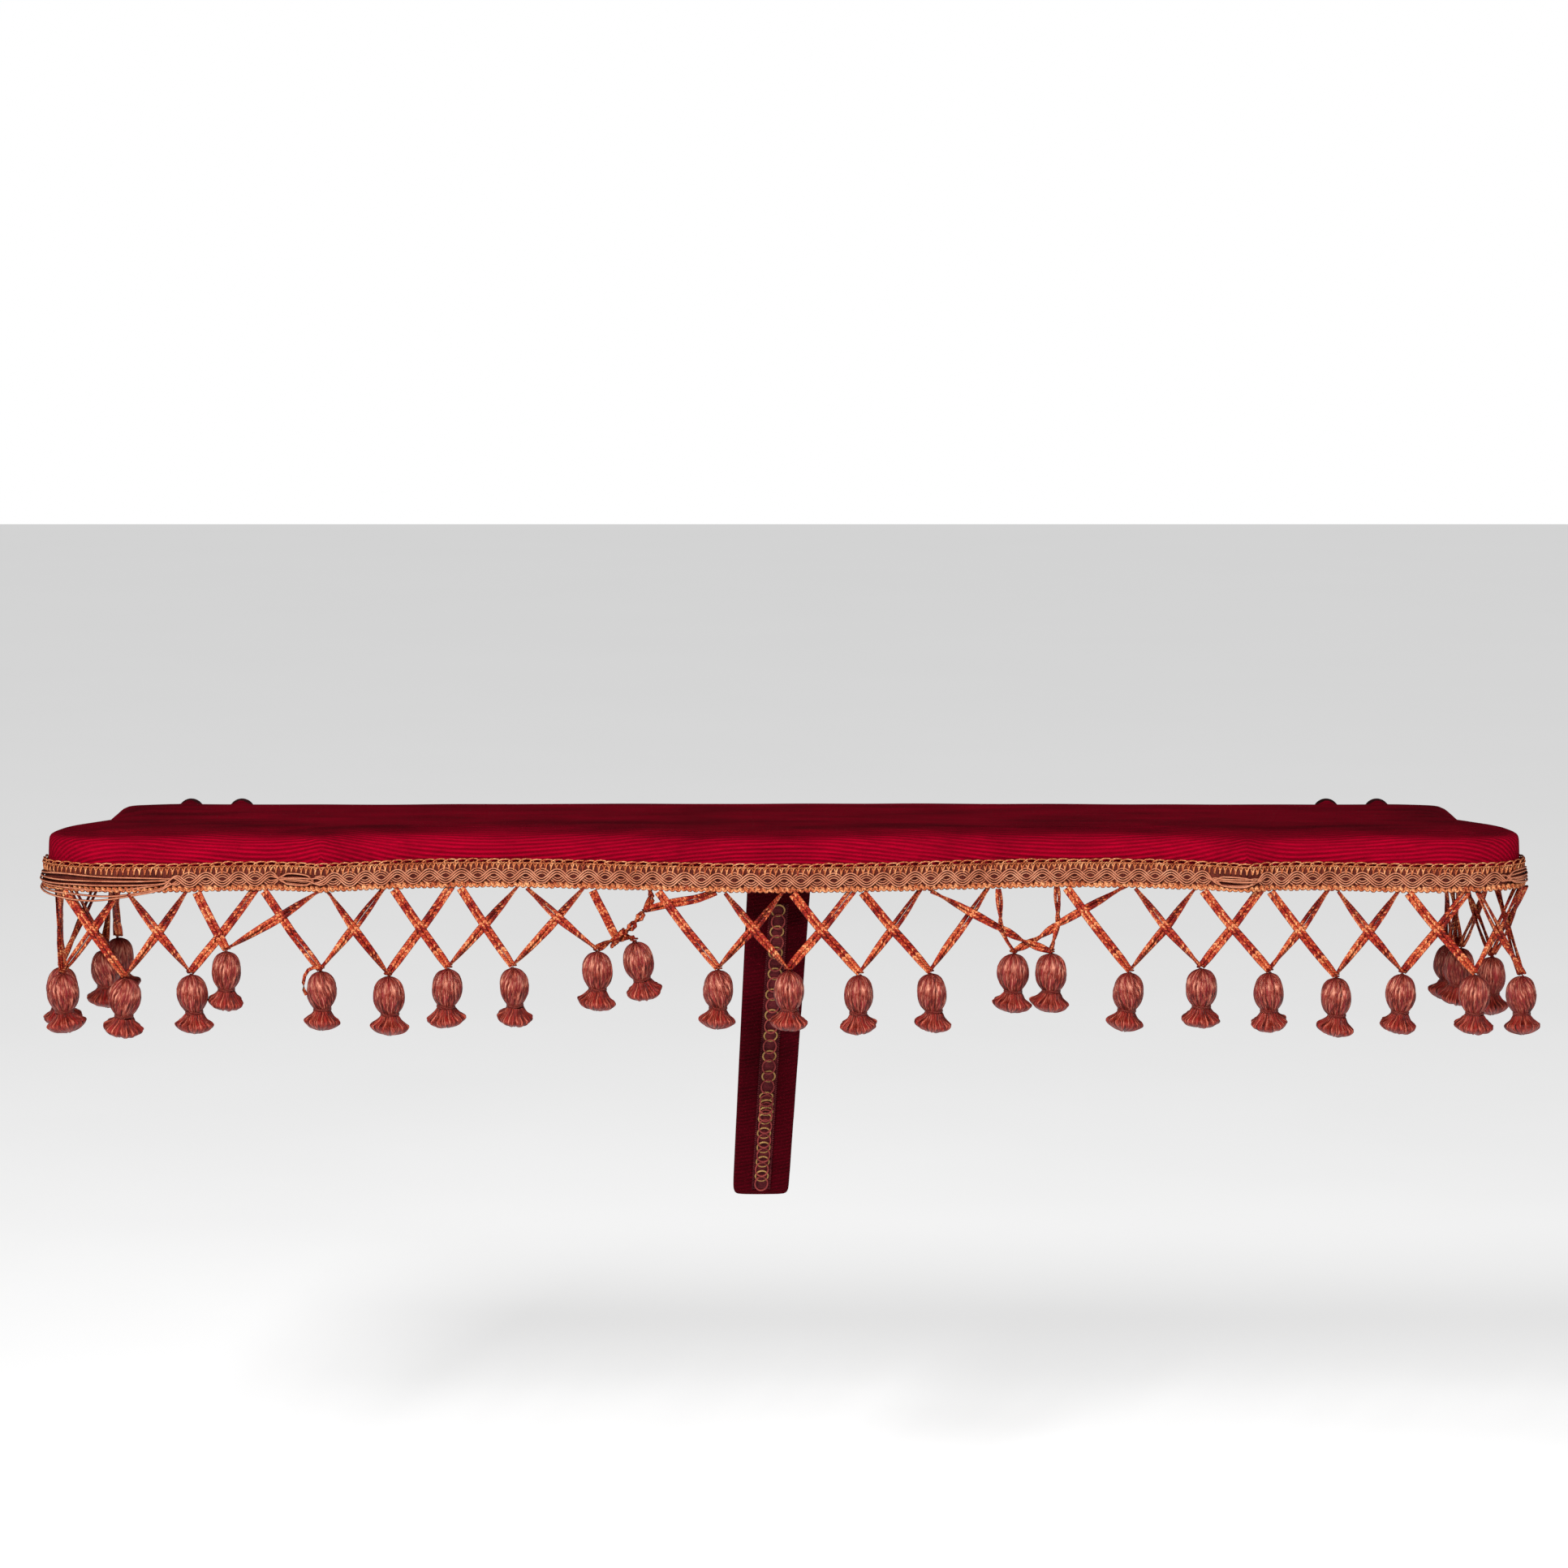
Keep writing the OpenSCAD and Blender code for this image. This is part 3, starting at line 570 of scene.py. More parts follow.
def velvetCover():
    c, p = coverShape, shelfPlan
    ring = planRing(-c["inset"], -1.9)
    clearSelection()
    bpy.ops.mesh.primitive_circle_add(vertices=len(ring), radius=0.1, fill_type="NGON")
    obj = bpy.context.object
    obj.name = "velvetCover"
    for v, (x, y) in zip(obj.data.vertices, ring):
        v.co = (x / 1000, y / 1000, c["hemZ"] / 1000)
    bpy.ops.object.mode_set(mode="EDIT")
    bpy.ops.mesh.select_all(action="SELECT")
    high = p["coverTop"] - 0.9 - c["hemZ"]
    bpy.ops.mesh.extrude_region_move(TRANSFORM_OT_translate={"value": (0, 0, (high - c["chamfer"]) / 1000)})
    for part in (0.62, 0.38):
        bpy.ops.mesh.inset(thickness=c["chamfer"] * (1 - part) / 1000)
        bpy.ops.transform.translate(value=(0, 0, c["chamfer"] * part / 1000))
    bpy.ops.object.mode_set(mode="OBJECT")
    cleanNormals(obj)
    obj.data.remesh_voxel_size = c["voxel"]
    bpy.ops.object.voxel_remesh()
    start = [v.co.copy() for v in obj.data.vertices]
    pinned = obj.vertex_groups.new(name="tacked")
    for v in obj.data.vertices:
        held = 1.0 if v.co.z < 0.022 or v.co.y > -0.006 else 0.0
        pinned.add([v.index], held, "REPLACE")
    cloth = obj.modifiers.new("swell", "CLOTH")
    cloth.settings.quality = 5
    cloth.settings.use_pressure = True
    cloth.settings.uniform_pressure_force = c["pressure"]
    cloth.settings.effector_weights.gravity = 0
    cloth.settings.vertex_group_mass = "tacked"
    for frameNumber in range(1, c["frames"] + 1):
        bpy.context.scene.frame_set(frameNumber)
    applyAll(obj)
    bpy.context.scene.frame_set(1)
    for v, was in zip(obj.data.vertices, start):
        push = v.co - was
        if push.length > c["cap"]:
            v.co = was + push.normalized() * c["cap"]
    smooth = obj.modifiers.new("soften", "SMOOTH")
    smooth.factor, smooth.iterations = 0.5, 2
    finer = obj.modifiers.new("finer", "SUBSURF")
    finer.levels = finer.render_levels = 1
    applyAll(obj)
    # distance in from the edge, for the hem, the cloth rows and the worn, painted-lit front
    edge = [alongPlan(k * 1.0) for k in range(-int(runLen[-1]), int(runLen[-1]) + 1)]
    tree = KDTree(len(edge))
    for i, (q, _, _) in enumerate(edge):
        tree.insert((q.x, q.y, 0), i)
    tree.balance()
    rows = obj.data.attributes.new("row", "FLOAT", "POINT")
    wornAndLit = obj.data.attributes.new("wornAndLit", "FLOAT", "POINT")
    crown = p["coverTop"]
    for v in obj.data.vertices:
        x, y, z = v.co * 1000
        _, i, inward = tree.find((x, y, 0))
        facing = max(0.0, -edge[i][2].y)
        near = smoothStep((16 - inward) / 16)
        sagging = 0.5 * wobble(x * 0.012, 3.1) + 0.35 * wobble(x * 0.03 + y * 0.02, 8.2)
        rows.data[v.index].value = y - max(0.0, crown - z) * facing + 1.6 * sagging
        # painted light: brighter along the rim and where the outline faces front, a painted shade band about
        # 26 mm in; the rim's pile is also partly worn
        rim = 1 - smoothStep((inward - 1.5 - 2.5 * wobble(x * 0.02, 5.5)) / 7.0)
        shade = math.exp(-((inward - 26) / 17) ** 2)
        uneven = 0.9 + 0.25 * wobble(x * 0.05, 1.7)
        wornAndLit.data[v.index].value = (0.22 + 0.86 * rim - 0.24 * shade) * (0.45 + 0.55 * facing) * uneven
        if z < 9.3 and inward > c["hem"] and y < -12:
            v.co.z = c["hemTuck"]    # the hem ends here; beyond it the form hides in the board
        elif z > 26:
            for lug in c["lugs"]:    # the cloth humps over the hanger lugs at the wall
                v.co.z += c["lugHump"] * math.exp(-((abs(x) - lug) / 5.0) ** 2 - ((y + 2) / 5.5) ** 2)
            v.co.z += 0.00035 * wobble(x * 0.02, 2.2) + 0.0002 * wobble(y * 0.08 + x * 0.01, 6.1) * near
    for poly in obj.data.polygons:
        poly.use_smooth = True
    finishPiece(obj, "shelf", velvetTop, "velvet", "velvet_cover", "top_wadding")
    return obj


cover = velvetCover()
print("stage: velvet cover", len(cover.data.polygons), "faces")


liningShape = dict(inset=9.0, z=8.05, thick=0.4, window=(-2.5, -100.5, 44.0, 49.0))


def undersideLining():
    c = liningShape
    data = bpy.data.curves.new("undersideLining", "CURVE")
    data.dimensions, data.fill_mode, data.extrude = "2D", "BOTH", c["thick"] / 2000
    ring = planRing(-c["inset"], -6.0)
    x0, y0, wide, deep = c["window"]
    window = [(x0 + sx * wide / 2, y0 + sy * deep / 2) for sx, sy in ((-1, -1), (1, -1), (1, 1), (-1, 1))]
    for outline in (ring[1:-1], window):
        line = data.splines.new("POLY")
        line.points.add(len(outline) - 1)
        for point, (x, y) in zip(line.points, outline):
            point.co = (x / 1000, y / 1000, 0, 1)
        line.use_cyclic_u = True
    obj = bpy.data.objects.new("undersideLining", data)
    bpy.context.collection.objects.link(obj)
    obj.location.z = (c["z"] + c["thick"] / 2) / 1000
    obj = cleanNormals(settle(toMesh(obj)))
    finishPiece(obj, "shelf", liningCloth, "lining", "underside_lining")
    return obj


lining = undersideLining()


heading = dict(low=1.4, top=19.2, waveZ=9.3, waveLen=18.4, waveAmp=2.75, cord=1.0, cordGap=1.36, waveD=1.9,
               topPitch=6.1, lowPitch=3.3, lowTall=2.7, tapeD=0.25)
loosened = [  # (from, to, top strand, bottom strand, sag) where the waved cords have pulled straight
    (-452, -345, 3.2, -9.6, -1.4), (-295, -262, 2.6, -3.2, -0.6),
    (240, 274, 2.8, -3.6, -1.0), (408, 446, 3.8, -4.0, 0.0)]
headEnd = max(s * 0.5 for s in range(int(runLen[-1] * 2)) if alongPlan(s * 0.5)[0].y < -2.0)


def looseAt(s):
    for a, b, hi, lo, sag in loosened:
        if a < s < b:
            t = (s - a) / (b - a)
            return smoothStep(min(t, 1 - t) * (b - a) / 11), math.sin(math.pi * t) ** 0.6, hi, lo, sag
    return 0.0, 0.0, 0.0, 0.0, 0.0


def waveCordRuns():
    h = heading
    runs = []
    steps = int(headEnd * 2 / 1.25)
    for bundle in (0, 1):
        for j in (-1, 0, 1):
            run = []
            number = bundle * 3 + j + 1
            for k in range(steps + 1):
                s = -headEnd + k * (2 * headEnd) / steps
                drift = 0.6 * wobble(s * 0.01, 4.4)
                phase = math.tau * (s + drift) / h["waveLen"] + math.pi * bundle
                amp = h["waveAmp"] * (1 + 0.10 * wobble(s * 0.02, 9.3 + bundle))
                slope = -amp * math.tau / h["waveLen"] * math.sin(phase)
                n = 1 / math.hypot(1, slope)
                apart = h["cordGap"] * (0.78 + 0.22 * abs(math.cos(phase)))
                zWave = amp * math.cos(phase) + j * apart * n
                sWave = -slope * n * j * apart
                dWave = 0.75 - 1.45 * bundle
                free, spread, hi, lo, sag = looseAt(s)
                order = (number * 2) % 6 + (1 if number > 2 else 0)
                astray = 1.8 * wobble(s * 0.03, 20 + number) * spread
                zFree = (hi + (lo - hi) * order / 5) * spread + sag * spread + astray
                dFree = 0.5 + 1.0 * wobble(s * 0.03, 40 + number) + 0.35 * (order % 3)
                z = h["waveZ"] + zWave * (1 - free) + zFree * free
                d = h["waveD"] + dWave * (1 - free) + dFree * free
                run.append((spot(s + sWave * (1 - free), d, z), 0.0, 1.0 + 0.22 * free))
            runs.append(run)
    return runs


def loopRuns(pitch, base, tall, thick, swing, d, seed, perLoop=9, flip=1, late=0.0):
    run, n = [], int(2 * headEnd / pitch)
    for k in range(n * perLoop + 1):
        t = k / perLoop + late
        s = -headEnd + t * 2 * headEnd / n - swing * math.sin(math.tau * t)
        rough = 1 + 0.22 * wobble(t * 0.9, seed)
        z = base + flip * tall * rough * (0.5 - 0.5 * math.cos(math.tau * t))
        run.append((spot(max(-headEnd, min(headEnd, s)), d + 0.45 * math.sin(math.tau * t), z), 0.0, thick))
    return run


def headingPieces():
    h = heading
    clearSelection()
    columns = int(headEnd * 2 / 3.0)
    bpy.ops.mesh.primitive_grid_add(x_subdivisions=columns, y_subdivisions=4, size=1)
    tape = bpy.context.object
    tape.name = "headingTape"
    low, high = h["low"] + 1.5, h["top"] - 2.6
    for v in tape.data.vertices:
        s, z = v.co.x * 2 * headEnd, low + (v.co.y + 0.5) * (high - low)
        v.co = spot(s, h["tapeD"], z + 0.15 * wobble(s * 0.05, 3.3))
    for loop in tape.data.uv_layers[0].data:
        loop.uv = (loop.uv[0] * 2 * headEnd, loop.uv[1])
    wall = tape.modifiers.new("thickness", "SOLIDIFY")
    wall.thickness, wall.offset = 0.0007, 1.0
    applyAll(tape)
    cleanNormals(tape)
    finishPiece(tape, "shelf", tapeCloth, "gimp", "heading_band")
    waves = layCords("headingWaveCords", waveCordRuns(), thick=h["cord"] / 1000, ringSides=1)
    scaledUv(waves, 2 * headEnd)
    paintedShadeBetweenCords(waves)
    finishPiece(waves, "shelf", waveCord, "gimp", "heading_wave_cords")
    base = h["waveZ"] + 3.0
    top = layCords("headingTopLoops", [
        loopRuns(h["topPitch"], base + 3.9, 2.4, 1.1, 2.3, 1.3, 11.0, 10),
        loopRuns(h["topPitch"] / 2, base - 0.4, 4.6, 1.0, 0.55, 1.2, 12.0, 8),
        loopRuns(h["topPitch"] / 4, base + 3.7, 0.7, 0.8, 0.35, 1.6, 16.0, 6)], thick=0.00092, ringSides=1)
    scaledUv(top, 2 * headEnd)
    paintedShadeBetweenCords(top)
    finishPiece(top, "shelf", picotCord, "gimp", "heading_top_picots")
    under = h["waveZ"] - 4.2
    bottom = layCords("headingLowLoops", [
        loopRuns(h["lowPitch"], under + 0.5, h["lowTall"], 1.75, 0.5, 1.35, 14.0, 9, -1),
        loopRuns(h["lowPitch"], under + 0.2, 2.0, 1.1, -0.5, 0.7, 15.0, 8, -1, 0.5)],
        thick=0.0011, ringSides=1)
    scaledUv(bottom, 2 * headEnd)
    paintedShadeBetweenCords(bottom)
    finishPiece(bottom, "shelf", picotCord, "gimp", "heading_bottom_picots")
    return [tape, waves, top, bottom]


print("stage: heading", [len(o.data.polygons) for o in headingPieces()])


net = dict(knotD=1.6, knotZ=-43.1, attach=2.6, cordWide=2.7, cordThick=1.6, pair=1.28,
           shift=2.3, rightPitch=39.1, leftPitch=37.9, lastTassel=32.0)
# how far each knot is pulled along the edge and up from its even place
pulled = {-12: (0, -4), -11: (0, -1), -10: (0, -1.8), -9: (-1.7, -0.4), -8: (-19.3, 12.3), -7: (-2, 2),
          -6: (-1.4, -3.1), -5: (-4.8, 0), -4: (-6, 0.6), -3: (5.1, 11.1), -2: (-11.5, 17.1), -1: (-1.4, 2.5),
          0: (0, 2.2), 1: (1.1, -0.5), 2: (2.2, -0.9), 3: (11.6, 9.2), 4: (-6.3, 8.9), 5: (0, -2),
          6: (1.6, 1.9), 7: (2.5, 0.3), 8: (1.9, -2.8), 9: (0.3, 0.2), 10: (1.5, -0.5),
          11: (0, -5), 14: (0, -4)}
endS = runLen[-1] - net["lastTassel"] + 8


def frontS(i):
    return net["shift"] + i * (net["leftPitch"] if i < 0 else net["rightPitch"])


def restS(i):
    if abs(i) <= 11:
        return frontS(i)
    last = abs(frontS(int(math.copysign(11, i))))
    return math.copysign(last + (abs(i) - 11) * (runLen[-1] - net["lastTassel"] - last) / 3, i)


def knotS(i):
    return restS(i) + pulled.get(i, (0, 0))[0]


def knotAt(i, d=None):
    return spot(knotS(i), net["knotD"] if d is None else d, net["knotZ"] + pulled.get(i, (0, 0))[1])


def pairRuns(points, turns, seed, phase=0.0, spread=1.0, endNarrow=0.7):
    # two flat cords side by side along the points, twisting about each other
    path = [Vector(q) for q in points]
    lengths = [0.0]
    for a, b in zip(path, path[1:]):
        lengths.append(lengths[-1] + (b - a).length)
    count = max(9, int(lengths[-1] * 1000 / 2.6))
    runs = [[], []]
    for k in range(count + 1):
        t = k / count
        want = t * lengths[-1]
        last = len(path) - 2
        i = next((j for j in range(last + 1) if lengths[j + 1] >= want), last)
        f = (want - lengths[i]) / max(lengths[i + 1] - lengths[i], 1e-9)
        at = path[i].lerp(path[i + 1], f)
        ahead = (path[i + 1] - path[i]).normalized()
        away = alongHere(at)
        out = (away - ahead * away.dot(ahead)).normalized()
        side = ahead.cross(out)
        angle = math.tau * turns * (t - 0.5) + phase + 0.25 * wobble(t * 2.2, seed)
        narrow = 1 - (1 - endNarrow) * smoothStep((t - 0.86) / 0.14)
        reach = net["pair"] * spread * narrow / 1000
        drift = side * 0.0005 * wobble(t * 2.0, seed + 5) * math.sin(math.pi * t)
        for q in (0, 1):
            sign = 1 if q else -1
            offset = (side * math.cos(angle) + out * math.sin(angle)) * reach * sign
            runs[q].append((at + offset + drift, angle, 1.0 - 0.10 * (1 - narrow)))
    return runs


def alongHere(at):
    # outward direction of the outline nearest to a place
    best, bestD = None, 9e9
    x, y = at.x * 1000, at.y * 1000
    for p, _, n in planCache[::8]:
        gap = (p.x - x) ** 2 + (p.y - y) ** 2
        if gap < bestD:
            best, bestD = n, gap
    return Vector((best.x, best.y, 0))


def bends(i, side):
    # two tassels right of the middle hang by legs that catch on each other
    if i in (3, 4):
        return [spot(restS(3) + 4.0, 2.4, -20.5)] if side < 0 else [spot(restS(4) - 2.2, 1.0, -19.0)]
    return []


def netLeg(i, side, seed):
    # side -1 comes down from the left in front, +1 from the right behind
    if i == -14 and side < 0:
        sTop = -endS
    elif i == 14 and side > 0:
        sTop = endS
    else:
        sTop = restS(i + side) - side * net["attach"]
    top = spot(sTop, 1.9 if side < 0 else -1.0, heading["low"] + (0.6 if side < 0 else 1.6))
    foot = knotAt(i, net["knotD"] - side * 0.75)
    via = bends(i, side)
    if via:
        below = via[0].lerp(foot, 0.5) + Vector((0, -0.001, -0.001))
        path = [top, top.lerp(via[0], 0.5)] + via + [below, foot]
        return pairRuns(path, 1.4 if i + side in (3, 4) else 0.6, seed * 1.7, 0.0, 0.85)
    sag = Vector((0, 0, -0.0008 - 0.0007 * abs(wobble(seed, 2.0))))
    mid = top.lerp(foot, 0.5) + sag + alongHere(top) * 0.0004
    turns = (0.0, 0.5, 0.15, 0.5, -0.5, 0.1)[seed % 6] if abs(restS(i)) < 430 else 0.5
    return pairRuns([top, top.lerp(mid, 0.5), mid, mid.lerp(foot, 0.5), foot], turns, seed * 1.7)


def strayLoop(i):
    # a short spare loop of cord beside one tassel's head
    knot = knotAt(i)
    route = ((0, 1), (-3.5, 1.2), (-6.5, -0.2), (-8.6, -3.5), (-9.4, -7.5), (-9.2, -11.5), (-7.8, -14.5))
    return [(knot + Vector((x / 1000, -0.002, z / 1000)), 0.4, 0.8) for x, z in route]


def knotWrap(i, seed):
    # the turn of cord that ties the two pairs together above a tassel
    at = knotAt(i)
    run = []
    for k in range(15):
        a = math.tau * 1.3 * k / 14 + seed
        turn = Vector((math.cos(a) * 0.0017, math.sin(a) * 0.0017, 0.0012 - 0.0016 * k / 14))
        run.append((at + turn, math.pi / 2, 0.62))
    return run


def flatSection():
    wide, thick = net["cordWide"] / 2000, net["cordThick"] / 2000
    pts = [(-1.0, 0.0), (-0.72, 0.85), (-0.28, 1.0), (0.0, 0.62), (0.28, 1.0), (0.72, 0.85), (1.0, 0.0),
           (0.72, -0.85), (0.28, -1.0), (0.0, -0.62), (-0.28, -1.0), (-0.72, -0.85)]
    return sectionCurve("cordSection", [(y * thick, x * wide) for x, y in pts])


def netPieces():
    section = flatSection()
    groups = {"netCordsFront": (range(-10, 11), "net_cords_front"),
              "netCordsLeft": (range(-14, -10), "net_cords_left"),
              "netCordsRight": (range(11, 15), "net_cords_right")}
    made = []
    for name, (span, nodeName) in groups.items():
        runs = []
        for i in span:
            for side in (-1, 1):
                if (i, side) in tangledLegs:
                    continue
                runs += netLeg(i, side, (i + 20) * 2 + (side > 0))
            runs.append(knotWrap(i, i * 1.3))
        if name == "netCordsFront":
            runs += tangleRuns() + [strayLoop(-7)]
        piece = layCords(name, runs, profile=section)
        scaledUv(piece, 52)
        finishPiece(piece, "shelf", netBraid, "net_cord", nodeName)
        made.append(piece)
    dropObject(section)
    return made


tangledLegs = {(-3, 1), (-2, -1), (-2, 1)}


def tangleRuns():
    # two tassels left of the middle whose cords are wound round each other
    runs = []
    a3, a2, a1 = restS(-3), restS(-2), restS(-1)
    knotA, knotB = knotAt(-3), knotAt(-2)
    low = heading["low"]
    wrap = spot(knotS(-3) + 11.5, 2.6, knotA.z * 1000 + 6.4)
    joint = spot(a2 - 5.0, 2.2, -8.6)
    start = spot(a3 + 2.6, 1.9, low)
    runs += pairRuns([start, wrap.lerp(start, 0.5), wrap], 0.0, 3.3, 0.0, 0.9)
    runs += pairRuns([wrap, wrap.lerp(knotB, 0.5) + Vector((0, -0.0012, 0.0016)),
                      knotB + Vector((0, 0, 0.0012))], 0.5, 4.1, 0.6, 0.8)
    runs += pairRuns([knotA + Vector((0, 0, 0.0005)), knotA.lerp(wrap, 0.55) + Vector((0, 0, 0.0003)),
                      wrap], 0.5, 5.3, 1.1, 0.75, 1.0)
    runs += pairRuns([wrap + Vector((0, -0.001, 0)), wrap.lerp(joint, 0.4) + Vector((0.002, -0.0012, 0.0004)),
                      wrap.lerp(joint, 0.75) + Vector((0.0012, -0.0006, 0)), joint], 1.7, 6.7, 0.0, 1.1, 0.9)
    runs += pairRuns([spot(a2 - 2.6, 0.2, low + 1.2), spot(a2 - 1.4, 0.4, -2.0), joint],
                     0.5, 7.2, 0.0, 0.8, 0.8)
    runs += pairRuns([spot(a1 - 2.6, -0.2, low + 0.8), spot(a1 - 14, 0.2, -2.0), spot(a2 + 8, 0.9, -5.2),
                      joint], 0.3, 8.4, 0.0, 1.0, 0.9)
    for turn in range(3):
        run = []
        centre = wrap + Vector((0.0014 * turn - 0.001, 0, -0.0006 + 0.0011 * turn))
        for k in range(17):
            a = math.tau * k / 14 + turn
            coil = Vector((math.cos(a) * 0.0019, -0.0004 + math.sin(a) * 0.0034, math.cos(a) * 0.0036))
            run.append((centre + coil, a, 0.95))
        runs.append(run)
    return runs


print("stage: net", [len(o.data.polygons) for o in netPieces()])


tassel = dict(segments=56,
              head=[(0.7, -1.5), (2.8, -1.9), (5.2, -3.0), (7.2, -5.2), (8.3, -8.6), (8.75, -12.2),
                    (8.6, -15.4), (7.8, -18.2), (6.4, -20.6), (5.0, -22.2)],
              tie=[(4.6, -21.6), (5.35, -21.9), (5.15, -22.3), (5.45, -22.7), (5.2, -23.1), (5.45, -23.5),
                   (4.6, -23.9)],
              skirt=[(4.6, -23.2), (5.5, -24.4), (6.1, -25.7), (7.3, -27.1), (9.3, -28.3), (10.6, -29.3),
                     (10.7, -30.5), (9.6, -32.0), (7.4, -33.5), (4.0, -34.6), (0.6, -35.0)])
tiltOf = {-2: -11, 2: -6, -10: 3, -9: -4, 5: 4, 8: -3, 9: 3, -4: -3, -5: 4}


def ruffle(obj, depth, bands, seed, slit=None, jag=0.0):
    # strands: radial grooves that follow the meridians
    for v in obj.data.vertices:
        r, a = math.hypot(v.co.x, v.co.y), math.atan2(v.co.y, v.co.x)
        z = v.co.z * 1000
        swirl = a + 0.05 * math.sin(z * 0.35 + seed)
        big = noise.noise(Vector((math.cos(swirl) * 1.9, math.sin(swirl) * 1.9, z * 0.07 + seed * 3)))
        fine = noise.noise(Vector((math.cos(swirl) * bands, math.sin(swirl) * bands, z * 0.03 + seed * 5)))
        grow = 1 + 0.11 * big + depth * fine
        if slit is not None:
            off = abs(math.remainder(a - slit, math.tau))
            reach = smoothStep((z + 12.5) / 6) * (1 - smoothStep((z + 2.2) / 1.2))
            grow -= 0.34 * reach * math.exp(-(off / 0.13) ** 2)
        v.co.x *= grow
        v.co.y *= grow
        if jag and z < -25.5:
            v.co.z += jag * 0.001 * noise.noise(Vector((math.cos(a) * 9, math.sin(a) * 9, r * 400 + seed)))
        if slit is not None and z > -4:
            v.co.z += 0.00035 * fine
    return obj


def flossAttribute(obj, twist):
    floss = obj.data.attributes.new("floss", "FLOAT_VECTOR", "POINT")
    for v in obj.data.vertices:
        z = v.co.z * 100
        a = math.atan2(v.co.y, v.co.x) + twist * z
        floss.data[v.index].vector = (math.cos(a), math.sin(a), z)


def inMetres(profile):
    return [(x / 1000, z / 1000) for x, z in profile]


def buildTassel(number):
    random.seed(100 + number)
    head = lathe("head", inMetres(tassel["head"]), tassel["segments"])
    finer = head.modifiers.new("finer", "SUBSURF")
    finer.levels = finer.render_levels = 1
    applyAll(head)
    ruffle(head, 0.07, 12, number, slit=math.radians(-90 + random.uniform(-28, 28)))
    flossAttribute(head, random.uniform(-0.5, 0.5))
    head.data.materials.append(headFloss)
    tie = lathe("tie", inMetres(tassel["tie"]), 28)
    flossAttribute(tie, 9.0)
    tie.data.materials.append(headFloss)
    skirt = lathe("skirt", inMetres(tassel["skirt"]), tassel["segments"] + 16)
    ruffle(skirt, 0.17, 11, number + 30, jag=1.3)
    finer = skirt.modifiers.new("finer", "SUBSURF")
    finer.levels = finer.render_levels = 1
    applyAll(skirt)
    flossAttribute(skirt, 0.1)
    skirt.data.materials.append(skirtFloss)
    pivot = Matrix.Translation((0, 0, -0.0242))
    lean = Matrix.Rotation(math.radians(random.uniform(-13, 13)), 4, "Y")
    lean = lean @ Matrix.Rotation(math.radians(random.uniform(-8, 8)), 4, "X")
    skirt.data.transform(pivot @ lean @ pivot.inverted())
    loopRun = []
    for k in range(13):    # thread loop that hangs the head on its knot
        a = math.pi * k / 12
        loopRun.append((Vector((0.0017 * math.cos(a), -0.0006, -0.0044 + 0.0033 * math.sin(a))), 0.0, 1.0))
    loop = layCords("loop", [loopRun], thick=0.0011, ringSides=1)
    flossAttribute(loop, 4.0)
    loop.data.materials.append(headFloss)
    obj = joined([head, tie, skirt, loop], "tasselShape%d" % number)
    for poly in obj.data.polygons:
        poly.use_smooth = True
    return obj


def tasselPieces(variants=6):
    shapes = [buildTassel(n) for n in range(variants)]
    random.seed(41)
    for i in range(-14, 15):
        name = "tassel_%02d" % (i + 15)
        obj = copyOf(shapes[(i * 5 + 3) % variants], "silkTassel%02d" % (i + 15))
        grow = random.uniform(0.95, 1.03) * (0.90 if i in (-8, -4) else 1.0)
        turn = Matrix.Rotation(headingTurn(knotS(i)) + math.radians(random.uniform(-35, 35)), 4, "Z")
        tilt = Matrix.Rotation(math.radians(tiltOf.get(i, random.uniform(-2.5, 2.5))), 4, "Y")
        nod = Matrix.Rotation(math.radians(random.uniform(-2, 2)), 4, "X")
        hold = Matrix.Translation(knotAt(i)) @ tilt @ nod @ turn @ Matrix.Diagonal((grow, grow, 1.0, 1.0))
        obj.data.transform(hold)
        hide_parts(name)
        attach(obj, name)
    for shape in shapes:
        dropObject(shape)


tasselPieces()
print("stage: tassels")


strut = dict(x=-2.5, y=-101.0, z=5.8, tilt=25.0, topHalf=18.0, footHalf=16.5, shift=-11.5,
             length=218.2, past=1.4, front=-16.1, back=-1.7,
             cutZ=8.7)
strutFrame = (Matrix.Translation((strut["x"] / 1000, strut["y"] / 1000, strut["z"] / 1000))
              @ Matrix.Rotation(math.radians(strut["tilt"]), 4, "X"))


def onStrut(x, out, down):
    # x across, out from the front velvet, down along the strut from the pin
    across = x + strut["shift"] * down / strut["length"]
    return strutFrame @ Vector((across / 1000, (strut["front"] - out) / 1000, -down / 1000))


